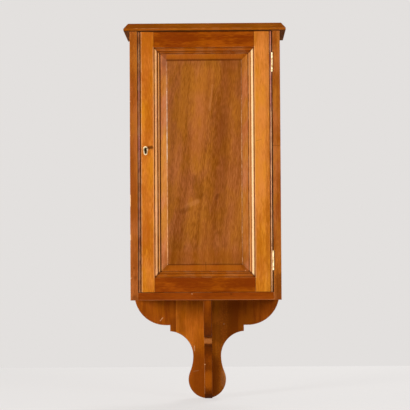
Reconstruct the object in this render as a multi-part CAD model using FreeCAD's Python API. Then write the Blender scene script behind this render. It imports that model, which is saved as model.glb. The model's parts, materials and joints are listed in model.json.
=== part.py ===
import FreeCAD, Part
import math
import os

from FreeCAD import Vector

# Wall cabinet with one framed door, on back boards that run down into a shaped bracket.
# Millimetres. The origin lies on the wall, midway between the two hanging holes.
# +Z is up and the front faces -Y, so depths into the cabinet grow towards +Y.

# Carcass
WIDTH = 388.0            # over the two sides
DEPTH = 190.0            # from the wall to the front edges
SIDE_H = 693.5           # height of the sides, under the top board
SIDE_T = 20.0
BACK_T = 16.0
BOTTOM_T = 20.0
SHELF_T = 15.0
TOP_T = 20.0
TOP_OVERHANG = 15.0      # past the front and both sides
TOP_BEVEL_W = 11.5       # width of the bevel on the top board, in plan
TOP_BEVEL_H = 14.5       # height of the same bevel
HOUSING = 6.0            # how deep the sides are cut for bottom board and shelves
HOUSING_STOP = 12.0      # the bottom board's housing ends this far behind the front edge
LOWER_CLEAR = 208.0      # clear height from the bottom board to the lower shelf
MIDDLE_CLEAR = 220.0     # clear height between the shelves
EASE = 1.0               # rounding of the arrises that hands touch
FIT = 0.05               # clearance of a driven fastener in its hole

# Hanging rail and its holes
RAIL_H = 48.0
RAIL_T = 16.0
HANG_DROP = 30.0         # hanging holes below the underside of the top board
HANG_SPACING = 250.0
HANG_HOLE_R = 2.75
HANG_SINK_R = 5.5        # countersink on the rail's face
HANG_SINK_D = 3.0

# Back boards
MIDDLE_BOARD_W = 166.0
BOARD_TONGUE = 5.0       # how far a tongue stands out
BOARD_TONGUE_T = 5.0
BOARD_TONGUE_ROOM = 0.5  # free space at the bottom of a groove

# Bracket outline, shared by the back boards and the fin where they have the same curve
LOBE_R = 84.5            # the round shoulder at the top
NECK = 37.2              # half width of the neck, and the fin's reach there
DROP_R = 50.0            # the round drop at the bottom
BACK_LOBE_RISE = 13.7    # centre of the back's shoulder above the underside of the box
BACK_FLAT = 11.0         # flat between shoulder and step
BACK_STEP = 16.2
BACK_NECK_FALL = 66.0    # from the step down to the neck
BACK_DROP_FALL = 62.5    # from the neck down to the drop's centre
FIN_T = 20.5
FIN_X = 3.5              # the fin stands this far to the right of the middle
FIN_SETBACK = 5.5        # behind the front edges of the sides
FIN_LOBE_FALL = 14.5     # centre of the fin's shoulder below the underside of the box
FIN_FLAT = 4.0
FIN_STEP = 18.0
FIN_DROP_FALL = 53.5     # from the fin's neck down to the drop's centre

# Door frame
DOOR_T = 20.0
SIDE_GAP = 1.5
TOP_GAP = 1.5
BOTTOM_GAP = 1.0
LOCK_STILE_W = 41.0
HINGE_STILE_W = 45.2
TOP_RAIL_H = 40.5
BOTTOM_RAIL_H = 37.5
EDGE_BEAD_R = 2.5        # bead along the outer edge of each stile
EDGE_QUIRK = 1.5
GROOVE_D = 8.0           # panel groove in stiles and rails
TENON_L = 26.0
HAUNCH = 10.0            # part of the rail's height that stays a haunch
MORTISE_ROOM = 0.5       # free space at the end of a mortise
STOP_GAP = 1.0           # from the door's back to the shelves that stop it

# Panel and its moulding; depths are counted from the face of the door
PANEL_TONGUE_T = 6.0
PANEL_FIT = 0.25         # on each face of the panel's tongue
PANEL_ROOM = 1.0         # between the panel's edge and the bottom of its groove
MARGIN_W = 16.0          # sloping border round the raised field
MARGIN_RISE = 2.75
FIELD_STEP = 1.5
BEAD_TOP = 0.6           # top of the large bead
BEAD_R = 3.9
SMALL_BEAD_R = 2.1
BEAD_FALL = 1.6          # centre of the small bead below that of the large one
BEAD_QUIRK = 1.2
COVE_R = 2.4
MOULDING_TOE = 0.45
TOE_MARGIN = 0.3         # flat strip between the moulding and the sloping border

# Butt hinges
HINGE_L = 50.0
HINGE_FROM_END = 55.0    # from the end of the door to the hinge
KNUCKLES = 5
KNUCKLE_R = 2.5
KNUCKLE_GAP = 0.2
KNUCKLE_ROOM = 0.3       # round a knuckle, in the wood and in the other leaf
HINGE_PIN_R = 1.25
HINGE_PIN_FIT = 0.06
PIN_PROUD = 1.2          # hinge axis in front of the door's face
LEAF_T = 1.4
LEAF_W = 15.0
LEAF_SCREWS = 3
LEAF_SCREW_PITCH = 16.0

# Lock and keyhole
KEY_RISE = 147.1         # keyhole above the lower shelf
BACKSET = 18.8           # keyhole from the edge of the door
KEYHOLE_R = 3.2
KEYHOLE_SLOT_W = 3.0
KEYHOLE_SLOT_L = 9.0     # from the keyhole's centre to the end of its slot
ESCUTCHEON_R = 6.6
ESCUTCHEON_TAIL_R = 4.6
ESCUTCHEON_L = 23.0
ESCUTCHEON_T = 2.0
ESCUTCHEON_PROUD = 0.3
LOCK_W = 35.0
LOCK_H = 50.0
LOCK_INSET = 2.0         # lock's edge behind the edge of the door
LOCK_RISE = 3.0          # centre of the lock above the keyhole
LOCK_PLATE_T = 1.5
LOCK_CAP_H = 9.5
LOCK_WALL = 1.2
BOLT_H = 9.0
BOLT_T = 5.0
BOLT_L = 26.0
BOLT_RISE = 10.0         # centre of the bolt above the keyhole
BOLT_FIT = 0.3
BOLT_THROW = 8.0
BOLT_NOTCH_W = 6.0       # notch that the key pushes against
BOLT_NOTCH_D = 2.5
STRIKE_ROOM = 0.7        # round the thrown bolt in the left side
LOCK_SCREW_INSET = 4.5   # lock screws from the lock's ends and its outer edge
LOCK_SCREW_WOOD = 3.0    # from the inner lock screws to the panel groove

# Screws: head radius, head height, shank radius, length. They are plain, with eight flats.
LEAF_SCREW = (2.8, 1.3, 1.4, 14.0)
LOCK_SCREW = (2.6, 1.6, 1.3, 20.0)
FIN_SCREW = (4.2, 2.6, 2.0, 45.0)
SCREW_FLATS = 8
# Cut nails: half width at the head, length
BACK_NAIL = (1.5, 38.0)
TOP_NAIL = (1.4, 45.0)
NAIL_FLATS = 4
NAIL_POINT = 0.5         # half width of a nail's point
SIDE_NAILS = 7           # back nails in each side
NAIL_END = 30.0          # first nail from the end of a board
FLOOR_NAIL_PITCH = 86.0
FIN_SCREW_TOP = 40.0     # first fin screw below the box, and out from the back
FIN_SCREW_PITCH = 60.0

# Places worked out from the sizes above
HALF = WIDTH / 2
INNER = HALF - SIDE_T
FRONT = -DEPTH
BACK_FACE = -BACK_T
TOP_UNDER = HANG_DROP
BOX_Z = TOP_UNDER - SIDE_H
FLOOR_Z = BOX_Z + BOTTOM_T
LOWER_SHELF_Z = FLOOR_Z + LOWER_CLEAR
UPPER_SHELF_Z = LOWER_SHELF_Z + SHELF_T + MIDDLE_CLEAR
SHELF_FRONT = FRONT + DOOR_T + STOP_GAP

BACK_STEP_Z = BOX_Z + BACK_LOBE_RISE - LOBE_R - BACK_STEP
BACK_NECK_Z = BACK_STEP_Z - BACK_NECK_FALL
DROP_Z = BACK_NECK_Z - BACK_DROP_FALL
FIN_NECK_Z = DROP_Z + FIN_DROP_FALL
FIN_REACH = DEPTH - BACK_T - FIN_SETBACK

DOOR_L = -INNER + SIDE_GAP
DOOR_R = INNER - SIDE_GAP
DOOR_LOW = FLOOR_Z + BOTTOM_GAP
DOOR_HIGH = TOP_UNDER - TOP_GAP
DOOR_BACK = FRONT + DOOR_T
SIGHT_L = DOOR_L + LOCK_STILE_W
SIGHT_R = DOOR_R - HINGE_STILE_W
SIGHT_LOW = DOOR_LOW + BOTTOM_RAIL_H
SIGHT_HIGH = DOOR_HIGH - TOP_RAIL_H

SMALL_BEAD_C = BEAD_TOP + BEAD_R + BEAD_FALL
PANEL_FACE = SMALL_BEAD_C + COVE_R + MOULDING_TOE
PANEL_BACK = PANEL_FACE + PANEL_TONGUE_T
GROOVE = (PANEL_FACE - PANEL_FIT, PANEL_BACK + PANEL_FIT)
MOULDING_W = 2 * BEAD_QUIRK + 2 * BEAD_R + 2 * SMALL_BEAD_R + COVE_R
TENON_Y = (FRONT + GROOVE[0], FRONT + GROOVE[1])

PIN_X = INNER - SIDE_GAP / 2
PIN_Y = FRONT - PIN_PROUD
UPPER_HINGE_Z = DOOR_HIGH - HINGE_FROM_END - HINGE_L / 2
LOWER_HINGE_Z = DOOR_LOW + HINGE_FROM_END + HINGE_L / 2
LEAF_SCREW_Y = FRONT + (KNUCKLE_R + LEAF_W) / 2

KEY_X = DOOR_L + BACKSET
KEY_Z = LOWER_SHELF_Z + SHELF_T + KEY_RISE
LOCK_X = (DOOR_L + LOCK_INSET, DOOR_L + LOCK_INSET + LOCK_W)
LOCK_Z = (KEY_Z + LOCK_RISE - LOCK_H / 2, KEY_Z + LOCK_RISE + LOCK_H / 2)
BOLT_Y = (DOOR_BACK + LOCK_PLATE_T + BOLT_FIT, DOOR_BACK + LOCK_PLATE_T + BOLT_FIT + BOLT_T)
BOLT_Z = (KEY_Z + BOLT_RISE - BOLT_H / 2, KEY_Z + BOLT_RISE + BOLT_H / 2)


# Small helpers


def block(x, y, z):
    """Box between two values on each axis, given in either order."""
    low = Vector(min(x), min(y), min(z))
    return Part.makeBox(abs(x[1] - x[0]), abs(y[1] - y[0]), abs(z[1] - z[0]), low)


def rod(radius, start, end):
    return Part.makeCylinder(radius, (end - start).Length, start, end - start)


def line(start, end):
    return Part.LineSegment(start, end).toShape()


def arc(start, middle, end):
    return Part.Arc(start, middle, end).toShape()


def prism(edges, way):
    return Part.Face(Part.Wire(edges)).extrude(way)


def chain(points):
    """Straight edges from point to point."""
    return [line(a, b) for a, b in zip(points, points[1:])]


def ease(shape, test):
    """Round the edges whose middle passes the test."""
    edges = [edge for edge in shape.Edges if test(edge.CenterOfMass)]
    return shape.makeFillet(EASE, edges)


def bevel_arris(shape, test):
    """Take the corner off the edges whose middle passes the test."""
    edges = [edge for edge in shape.Edges if test(edge.CenterOfMass)]
    return shape.makeChamfer(EASE, edges)


def near(a, b):
    return abs(a - b) < 1e-6


def cut_all(shape, tools):
    return shape.cut(Part.makeCompound(tools))


# Fasteners


def flats(count, inner, z):
    """Corners of a regular outline whose flats lie at inner from its middle, the first one twice."""
    radius = inner / math.cos(math.pi / count)
    turns = [(i + 0.5) * 2 * math.pi / count for i in range(count + 1)]
    return [Vector(radius * math.cos(turn), radius * math.sin(turn), z) for turn in turns]


def flat_face(corners):
    return Part.Face(Part.makePolygon(corners))


def tapered(count, inner, start, end_inner, end):
    """Solid with flat sides, from inner at height start to end_inner at height end."""
    low = flats(count, inner, start)
    high = flats(count, end_inner, end)
    sides = zip(low, low[1:], high[1:], high)
    faces = [flat_face([a, b, c, d, a]) for a, b, c, d in sides]
    faces += [flat_face(low[::-1]), flat_face(high)]
    return Part.makeSolid(Part.makeShell(faces))


def placed(shape, head, way):
    shape.Placement = FreeCAD.Placement(head, FreeCAD.Rotation(Vector(0, 0, 1), way))
    return shape


def screw_body(size, room):
    head_r, head_h, shank_r, length = size
    head = tapered(SCREW_FLATS, head_r + room, 0, shank_r + room, head_h)
    shank = tapered(SCREW_FLATS, shank_r + room, head_h, shank_r + room, length + room)
    return head.fuse(shank)


def screw(head, way, size):
    """Countersunk screw, flush with the surface at head."""
    return placed(screw_body(size, 0.0), head, way)


def screw_hole(head, way, size):
    return placed(screw_body(size, FIT), head, way)


def nail_body(size, room):
    """Square cut nail that tapers to its point."""
    half, length = size
    return tapered(NAIL_FLATS, half + room, 0, NAIL_POINT + room, length + room)


def nail(head, way, size):
    return placed(nail_body(size, 0.0), head, way)


def nail_hole(head, way, size):
    return placed(nail_body(size, FIT), head, way)


def back_nail_places():
    """Nail heads on the back: along both sides, then along bottom board, shelves and hanging rail."""
    step = (SIDE_H - 2 * NAIL_END) / (SIDE_NAILS - 1)
    side_x = (HALF + INNER + HOUSING) / 2
    heads = []
    for sign in (-1, 1):
        heads += [Vector(sign * side_x, 0, BOX_Z + NAIL_END + i * step) for i in range(SIDE_NAILS)]
    for count in (-1.5, -0.5, 0.5, 1.5):
        heads.append(Vector(count * FLOOR_NAIL_PITCH, 0, BOX_Z + BOTTOM_T / 2))
    for z in (LOWER_SHELF_Z + SHELF_T / 2, UPPER_SHELF_Z + SHELF_T / 2, TOP_UNDER - RAIL_H / 2):
        heads += [Vector(sign * FLOOR_NAIL_PITCH / 2, 0, z) for sign in (-1, 1)]
    return heads


def top_nail_places():
    """Three nails down into each side."""
    x = HALF - SIDE_T / 2
    middle = (FRONT + BACK_FACE) / 2
    reach = (BACK_FACE - FRONT) / 2 - NAIL_END
    z = TOP_UNDER + TOP_T
    return [Vector(sign * x, middle + at * reach, z) for sign in (-1, 1) for at in (-1, 0, 1)]


def fin_screw_places():
    """Screws into the fin: three from the back, two down through the bottom board."""
    from_back = [Vector(FIN_X, 0, BOX_Z - FIN_SCREW_TOP - i * FIN_SCREW_PITCH) for i in range(2)]
    from_back.append(Vector(FIN_X, 0, DROP_Z))
    from_above = [Vector(FIN_X, BACK_FACE - FIN_SCREW_TOP - i * FIN_SCREW_PITCH, FLOOR_Z) for i in range(2)]
    return from_back, from_above


TO_FRONT = Vector(0, -1, 0)
DOWN = Vector(0, 0, -1)
BACK_NAIL_HOLES = [nail_hole(head, TO_FRONT, BACK_NAIL) for head in back_nail_places()]
TOP_NAIL_HOLES = [nail_hole(head, DOWN, TOP_NAIL) for head in top_nail_places()]
FIN_HOLES = [screw_hole(head, TO_FRONT, FIN_SCREW) for head in fin_screw_places()[0]]
FIN_HOLES += [screw_hole(head, DOWN, FIN_SCREW) for head in fin_screw_places()[1]]


# Hinges


def hinge_axis(radius, z, half_length):
    return rod(radius, Vector(PIN_X, PIN_Y, z - half_length), Vector(PIN_X, PIN_Y, z + half_length))


def knuckle_notch(z, half_length):
    """Square room round a knuckle."""
    reach = KNUCKLE_R + KNUCKLE_ROOM
    x = (PIN_X - reach, PIN_X + reach)
    return block(x, (PIN_Y - reach, PIN_Y + reach), (z - half_length, z + half_length))


def knuckle_span(index, z):
    length = HINGE_L / KNUCKLES
    low = z - HINGE_L / 2 + index * length
    return low, low + length


def leaf_screw_heads(z, x):
    middle = (LEAF_SCREWS - 1) / 2
    return [Vector(x, LEAF_SCREW_Y, z + (i - middle) * LEAF_SCREW_PITCH) for i in range(LEAF_SCREWS)]


def hinge_leaf(z, face, way, first):
    """Leaf let in behind face, with every second knuckle from first, bored for the pin."""
    half = HINGE_L / 2
    leaf = block((face, face + way * LEAF_T), (PIN_Y, FRONT + LEAF_W), (z - half, z + half))
    for index in range(KNUCKLES):
        low, high = knuckle_span(index, z)
        middle = (low + high) / 2
        if index % 2 == first:
            knuckle = hinge_axis(KNUCKLE_R, middle, (high - low - KNUCKLE_GAP) / 2)
            leaf = leaf.fuse(knuckle)
        else:
            leaf = leaf.cut(knuckle_notch(middle, (high - low + KNUCKLE_GAP) / 2))
    tools = [hinge_axis(HINGE_PIN_R + HINGE_PIN_FIT, z, HINGE_L)]
    tools += [screw_hole(head, Vector(way, 0, 0), LEAF_SCREW) for head in leaf_screw_heads(z, face)]
    return cut_all(leaf, tools).removeSplitter()


def hinge_recess(z, face, way):
    """Everything cut from the wood for one leaf: the leaf's bed, room for the knuckles, screw holes."""
    half = HINGE_L / 2
    bed = block((face, face + way * LEAF_T), (FRONT, FRONT + LEAF_W), (z - half, z + half))
    room = knuckle_notch(z, half + KNUCKLE_ROOM)
    holes = [screw_hole(head, Vector(way, 0, 0), LEAF_SCREW) for head in leaf_screw_heads(z, face)]
    return [bed, room] + holes


def hinge_pin(z):
    return hinge_axis(HINGE_PIN_R, z, HINGE_L / 2)


def leaf_screws(face, way):
    heads = leaf_screw_heads(UPPER_HINGE_Z, face) + leaf_screw_heads(LOWER_HINGE_Z, face)
    return Part.makeCompound([screw(head, Vector(way, 0, 0), LEAF_SCREW) for head in heads])


# Carcass boards


def plain_side(sign):
    """Side board with its housings and nail holes; sign is -1 on the left."""
    board = block((sign * INNER, sign * HALF), (FRONT, BACK_FACE), (BOX_Z, TOP_UNDER))
    board = ease(board, lambda at: near(at.y, FRONT) and not near(abs(at.x), HALF - SIDE_T / 2))
    deep = (sign * INNER, sign * (INNER + HOUSING))
    tools = [block(deep, (FRONT + HOUSING_STOP, BACK_FACE), (BOX_Z, FLOOR_Z))]
    for z in (LOWER_SHELF_Z, UPPER_SHELF_Z):
        tools.append(block(deep, (SHELF_FRONT, BACK_FACE), (z, z + SHELF_T)))
    return cut_all(board, tools + BACK_NAIL_HOLES + TOP_NAIL_HOLES)


def side_left():
    """The lock's bolt enters a mortise in this side."""
    reach = LOCK_INSET + SIDE_GAP
    depth = BOLT_THROW - reach + STRIKE_ROOM
    y = (BOLT_Y[0] - STRIKE_ROOM, BOLT_Y[1] + STRIKE_ROOM)
    z = (BOLT_Z[0] - STRIKE_ROOM, BOLT_Z[1] + STRIKE_ROOM)
    return plain_side(-1).cut(block((-INNER, -INNER - depth), y, z))


def side_right():
    """The hinges' leaves are let into this side."""
    tools = hinge_recess(UPPER_HINGE_Z, INNER, 1) + hinge_recess(LOWER_HINGE_Z, INNER, 1)
    return cut_all(plain_side(1), tools)


def top_rectangle(inset, z):
    """Outline of the top board, drawn in by inset on the front and the ends."""
    x = HALF + TOP_OVERHANG - inset
    y = FRONT - TOP_OVERHANG + inset
    corners = [Vector(-x, y, z), Vector(x, y, z), Vector(x, 0, z), Vector(-x, 0, z)]
    return Part.makePolygon(corners + corners[:1])


def top_board():
    nose_z = TOP_UNDER + TOP_T - TOP_BEVEL_H
    nose = Part.Face(top_rectangle(0.0, TOP_UNDER)).extrude(Vector(0, 0, TOP_T - TOP_BEVEL_H))
    upper = top_rectangle(TOP_BEVEL_W, TOP_UNDER + TOP_T)
    bevel = Part.makeLoft([top_rectangle(0.0, nose_z), upper], True, True)
    board = nose.fuse(bevel).removeSplitter()
    board = bevel_arris(board, lambda at: not near(at.y, 0.0))
    return cut_all(board, TOP_NAIL_HOLES)


def bottom_board():
    """Notched at the front corners, so that the housings don't show."""
    x = INNER + HOUSING
    board = block((-INNER, INNER), (FRONT, BACK_FACE), (BOX_Z, FLOOR_Z))
    board = ease(board, lambda at: near(at.y, FRONT) and near(at.x, 0.0))
    tongue = block((-x, x), (FRONT + HOUSING_STOP, BACK_FACE), (BOX_Z, FLOOR_Z))
    return cut_all(board.fuse(tongue).removeSplitter(), BACK_NAIL_HOLES + FIN_HOLES)


def shelf(z):
    x = INNER + HOUSING
    board = block((-x, x), (SHELF_FRONT, BACK_FACE), (z, z + SHELF_T))
    board = ease(board, lambda at: near(at.y, SHELF_FRONT) and near(at.x, 0.0))
    return cut_all(board, BACK_NAIL_HOLES)


def hanging_holes():
    """Wall screw holes, countersunk on the face of the hanging rail."""
    face = BACK_FACE - RAIL_T
    holes = []
    for sign in (-1, 1):
        x = sign * HANG_SPACING / 2
        holes.append(rod(HANG_HOLE_R, Vector(x, face, 0), Vector(x, 0, 0)))
        sink = Part.makeCone(HANG_SINK_R, HANG_HOLE_R, HANG_SINK_D, Vector(x, face, 0), Vector(0, 1, 0))
        holes.append(sink)
    return holes


def hanging_rail():
    face = BACK_FACE - RAIL_T
    rail = block((-INNER, INNER), (face, BACK_FACE), (TOP_UNDER - RAIL_H, TOP_UNDER))
    rail = ease(rail, lambda at: near(at.y, face) and near(at.z, TOP_UNDER - RAIL_H))
    return cut_all(rail, hanging_holes() + BACK_NAIL_HOLES)


# Bracket outline


def bracket_curve(reach, lobe_z, flat, step, neck_z, at):
    """Edges from the shoulder at reach down to the middle of the drop; at(u, z) places a point."""
    lobe_x = reach - LOBE_R
    step_x = lobe_x - flat
    lobe_low = lobe_z - LOBE_R
    step_low = lobe_low - step
    slant = LOBE_R * math.sqrt(0.5)
    edges = [arc(at(reach, lobe_z), at(lobe_x + slant, lobe_z - slant), at(lobe_x, lobe_low))]
    edges += chain([at(lobe_x, lobe_low), at(step_x, lobe_low), at(step_x, step_low)])

    run = step_x - NECK
    fall = step_low - neck_z
    hollow_r = (run ** 2 + fall ** 2) / (2 * run)
    hollow_x = NECK + hollow_r
    turn = math.atan2(fall, hollow_x - step_x) / 2
    middle = at(hollow_x - hollow_r * math.cos(turn), neck_z + hollow_r * math.sin(turn))
    edges.append(arc(at(step_x, step_low), middle, at(NECK, neck_z)))

    rise = neck_z - DROP_Z
    swell_r = (NECK ** 2 + rise ** 2 - DROP_R ** 2) / (2 * (DROP_R - NECK))
    lean = math.atan2(rise, NECK + swell_r)
    meet = at(DROP_R * math.cos(lean), DROP_Z + DROP_R * math.sin(lean))
    swell_x = NECK + swell_r - swell_r * math.cos(lean / 2)
    edges.append(arc(at(NECK, neck_z), at(swell_x, neck_z - swell_r * math.sin(lean / 2)), meet))

    half_turn = (lean - math.pi / 2) / 2
    middle = at(DROP_R * math.cos(half_turn), DROP_Z + DROP_R * math.sin(half_turn))
    edges.append(arc(meet, middle, at(0, DROP_Z - DROP_R)))
    return edges


def back_plate():
    """All three back boards in one piece, with eased arrises on the front of the bracket."""
    lobe_z = BOX_Z + BACK_LOBE_RISE
    edges = []
    for sign in (-1, 1):
        edges += bracket_curve(
            HALF, lobe_z, BACK_FLAT, BACK_STEP, BACK_NECK_Z, lambda u, z: Vector(sign * u, BACK_FACE, z)
        )
    edges += chain([
        Vector(-HALF, BACK_FACE, lobe_z),
        Vector(-HALF, BACK_FACE, TOP_UNDER),
        Vector(HALF, BACK_FACE, TOP_UNDER),
        Vector(HALF, BACK_FACE, lobe_z),
    ])
    plate = prism(Part.__sortEdges__(edges), Vector(0, BACK_T, 0))
    plate = bevel_arris(plate, lambda at: near(at.y, BACK_FACE) and at.z < BOX_Z)
    return cut_all(plate, hanging_holes() + BACK_NAIL_HOLES + FIN_HOLES)


def back_board(place):
    """Board at place -1, 0 or 1 across the back: the middle one has tongues, the others grooves."""
    seam = MIDDLE_BOARD_W / 2
    low = DROP_Z - DROP_R
    y = (BACK_FACE, 0.0)
    z = (low, TOP_UNDER)
    middle_y = BACK_FACE / 2
    tongue_y = (middle_y - BOARD_TONGUE_T / 2, middle_y + BOARD_TONGUE_T / 2)
    if place == 0:
        wood = block((-seam, seam), y, z)
        wood = wood.fuse(block((-seam - BOARD_TONGUE, seam + BOARD_TONGUE), tongue_y, z))
    else:
        wood = block((place * seam, place * HALF), y, z)
        bottom = seam + BOARD_TONGUE + BOARD_TONGUE_ROOM
        wood = wood.cut(block((place * seam, place * bottom), tongue_y, z))
    return back_plate().common(wood).removeSplitter()


def bracket_fin():
    """Board on edge under the box, cut to the bracket's curve at its front."""
    lobe_z = BOX_Z - FIN_LOBE_FALL

    def at(u, z):
        return Vector(FIN_X - FIN_T / 2, BACK_FACE - u, z)

    def on_curve(middle):
        below = middle.y < BACK_FACE - EASE and middle.z < BOX_Z - EASE
        return below and not near(middle.x, FIN_X)

    edges = bracket_curve(FIN_REACH, lobe_z, FIN_FLAT, FIN_STEP, FIN_NECK_Z, at)
    edges += chain([at(0, DROP_Z - DROP_R), at(0, BOX_Z), at(FIN_REACH, BOX_Z), at(FIN_REACH, lobe_z)])
    fin = prism(Part.__sortEdges__(edges), Vector(FIN_T, 0, 0))
    fin = bevel_arris(fin, on_curve)
    return cut_all(fin, FIN_HOLES)


# Door


def stile(outer, way, width):
    """Door stile with a bead on its outer edge, a panel groove and two mortises."""
    def at(u, depth):
        return Vector(outer + way * u, FRONT + depth, DOOR_LOW)

    bead = 2 * EDGE_BEAD_R
    face = bead + EDGE_QUIRK
    edges = [arc(at(0, EDGE_BEAD_R), at(EDGE_BEAD_R, 0), at(bead, EDGE_BEAD_R))]
    edges += chain([at(bead, EDGE_BEAD_R), at(face, EDGE_BEAD_R), at(face, EASE)])
    corner = EASE * (1 - math.sqrt(0.5))
    edges.append(arc(at(face, EASE), at(face + corner, corner), at(face + EASE, 0)))
    edges.append(line(at(face + EASE, 0), at(width - EASE, 0)))
    edges.append(arc(at(width - EASE, 0), at(width - corner, corner), at(width, EASE)))
    edges += chain([
        at(width, EASE),
        at(width, GROOVE[0]),
        at(width - GROOVE_D, GROOVE[0]),
        at(width - GROOVE_D, GROOVE[1]),
        at(width, GROOVE[1]),
        at(width, DOOR_T),
        at(0, DOOR_T),
        at(0, EDGE_BEAD_R),
    ])
    wood = prism(edges, Vector(0, 0, DOOR_HIGH - DOOR_LOW))
    inner = outer + way * width
    deep = (inner, inner - way * (TENON_L + MORTISE_ROOM))
    return cut_all(wood, [block(deep, TENON_Y, tenon_z(rail)) for rail in ("top", "bottom")])


def tenon_z(rail):
    """Height of a rail's long tenon, between its panel groove and its haunch."""
    if rail == "top":
        return SIGHT_HIGH + GROOVE_D, DOOR_HIGH - HAUNCH
    return DOOR_LOW + HAUNCH, SIGHT_LOW - GROOVE_D


def lock_stile():
    wood = stile(DOOR_L, 1, LOCK_STILE_W)
    bed = escutcheon_outline(FRONT, ESCUTCHEON_T)
    tools = [bed] + keyhole(FRONT, DOOR_BACK) + lock_screw_holes()
    for tool in tools:
        wood = wood.cut(tool)
    return wood


def hinge_stile():
    wood = stile(DOOR_R, -1, HINGE_STILE_W)
    tools = hinge_recess(UPPER_HINGE_Z, DOOR_R, -1) + hinge_recess(LOWER_HINGE_Z, DOOR_R, -1)
    return cut_all(wood, tools)


def rail(name):
    """Door rail with a panel groove, haunches that fill the stiles' grooves, and long tenons."""
    inner, outer = (SIGHT_HIGH, DOOR_HIGH) if name == "top" else (SIGHT_LOW, DOOR_LOW)
    way = math.copysign(1, outer - inner)

    def at(depth, height):
        return Vector(SIGHT_L, FRONT + depth, inner + way * height)

    height = abs(outer - inner)
    corner = EASE * (1 - math.sqrt(0.5))
    edges = [arc(at(0, EASE), at(corner, corner), at(EASE, 0))]
    edges += chain([
        at(EASE, 0),
        at(GROOVE[0], 0),
        at(GROOVE[0], GROOVE_D),
        at(GROOVE[1], GROOVE_D),
        at(GROOVE[1], 0),
        at(DOOR_T, 0),
        at(DOOR_T, height),
        at(0, height),
        at(0, EASE),
    ])
    wood = prism(edges, Vector(SIGHT_R - SIGHT_L, 0, 0))
    haunch = block((SIGHT_L - GROOVE_D, SIGHT_R + GROOVE_D), TENON_Y, (inner + way * GROOVE_D, outer))
    tenon = block((SIGHT_L - TENON_L, SIGHT_R + TENON_L), TENON_Y, tenon_z(name))
    return wood.fuse([haunch, tenon]).removeSplitter()


def panel_rectangle(inset, depth):
    """Rectangle drawn in by inset from the opening of the door frame, at a depth from its face."""
    y = FRONT + depth
    left, right = SIGHT_L + inset, SIGHT_R - inset
    low, high = SIGHT_LOW + inset, SIGHT_HIGH - inset
    corners = [Vector(left, y, low), Vector(right, y, low), Vector(right, y, high), Vector(left, y, high)]
    return Part.makePolygon(corners + corners[:1])


def door_panel():
    """Raised and fielded panel: tongue in the frame's groove, sloping border, step, flat field."""
    slope_in = MOULDING_W + TOE_MARGIN
    field_in = slope_in + MARGIN_W
    slope_top = PANEL_FACE - MARGIN_RISE
    board = Part.Face(panel_rectangle(PANEL_ROOM - GROOVE_D, PANEL_FACE))
    board = board.extrude(Vector(0, PANEL_TONGUE_T, 0))
    field_edge = panel_rectangle(field_in, slope_top)
    border = Part.makeLoft([panel_rectangle(slope_in, PANEL_FACE), field_edge], True, True)
    field = Part.Face(field_edge).extrude(Vector(0, -FIELD_STEP, 0))
    return board.fuse([border, field]).removeSplitter()


def moulding_section(at):
    """Large bead, small bead and cove; at(u, depth) counts u from the frame into the panel."""
    bead_c = BEAD_TOP + BEAD_R
    u1 = BEAD_QUIRK
    u2 = u1 + 2 * BEAD_R
    u3 = u2 + BEAD_QUIRK
    u4 = u3 + 2 * SMALL_BEAD_R
    slant = COVE_R * (1 - math.sqrt(0.5))
    cove_low = SMALL_BEAD_C + COVE_R
    edges = chain([at(0, PANEL_FACE), at(0, bead_c), at(u1, bead_c)])
    edges.append(arc(at(u1, bead_c), at(u1 + BEAD_R, BEAD_TOP), at(u2, bead_c)))
    edges += chain([at(u2, bead_c), at(u2, SMALL_BEAD_C), at(u3, SMALL_BEAD_C)])
    crown = at(u3 + SMALL_BEAD_R, SMALL_BEAD_C - SMALL_BEAD_R)
    edges.append(arc(at(u3, SMALL_BEAD_C), crown, at(u4, SMALL_BEAD_C)))
    edges.append(arc(at(u4, SMALL_BEAD_C), at(u4 + slant, cove_low - slant), at(MOULDING_W, cove_low)))
    edges += chain([at(MOULDING_W, cove_low), at(MOULDING_W, PANEL_FACE), at(0, PANEL_FACE)])
    return edges


def moulding(corner, along, inward):
    """Length of moulding on one side of the opening, mitred at both ends."""
    length = along.Length
    run = along / length

    def at(u, depth):
        return corner + inward * u + Vector(0, depth, 0)

    strip = prism(moulding_section(at), along)
    end = corner + along
    mitre = [corner, end, end + (inward - run) * MOULDING_W, corner + (inward + run) * MOULDING_W]
    return strip.common(prism(chain(mitre + mitre[:1]), Vector(0, PANEL_FACE, 0)))


def mouldings():
    low_left = Vector(SIGHT_L, FRONT, SIGHT_LOW)
    high_right = Vector(SIGHT_R, FRONT, SIGHT_HIGH)
    across = Vector(SIGHT_R - SIGHT_L, 0, 0)
    upright = Vector(0, 0, SIGHT_HIGH - SIGHT_LOW)
    return {
        "moulding_left": moulding(low_left, upright, Vector(1, 0, 0)),
        "moulding_bottom": moulding(low_left, across, Vector(0, 0, 1)),
        "moulding_right": moulding(high_right, upright * -1, Vector(-1, 0, 0)),
        "moulding_top": moulding(high_right, across * -1, Vector(0, 0, -1)),
    }


# Lock


def keyhole(y_front, y_back):
    """Round hole and slot, from y_front to y_back."""
    hole = rod(KEYHOLE_R, Vector(KEY_X, y_front, KEY_Z), Vector(KEY_X, y_back, KEY_Z))
    half = KEYHOLE_SLOT_W / 2
    slot = block((KEY_X - half, KEY_X + half), (y_front, y_back), (KEY_Z - KEYHOLE_SLOT_L, KEY_Z))
    return [hole.fuse(slot)]


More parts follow.
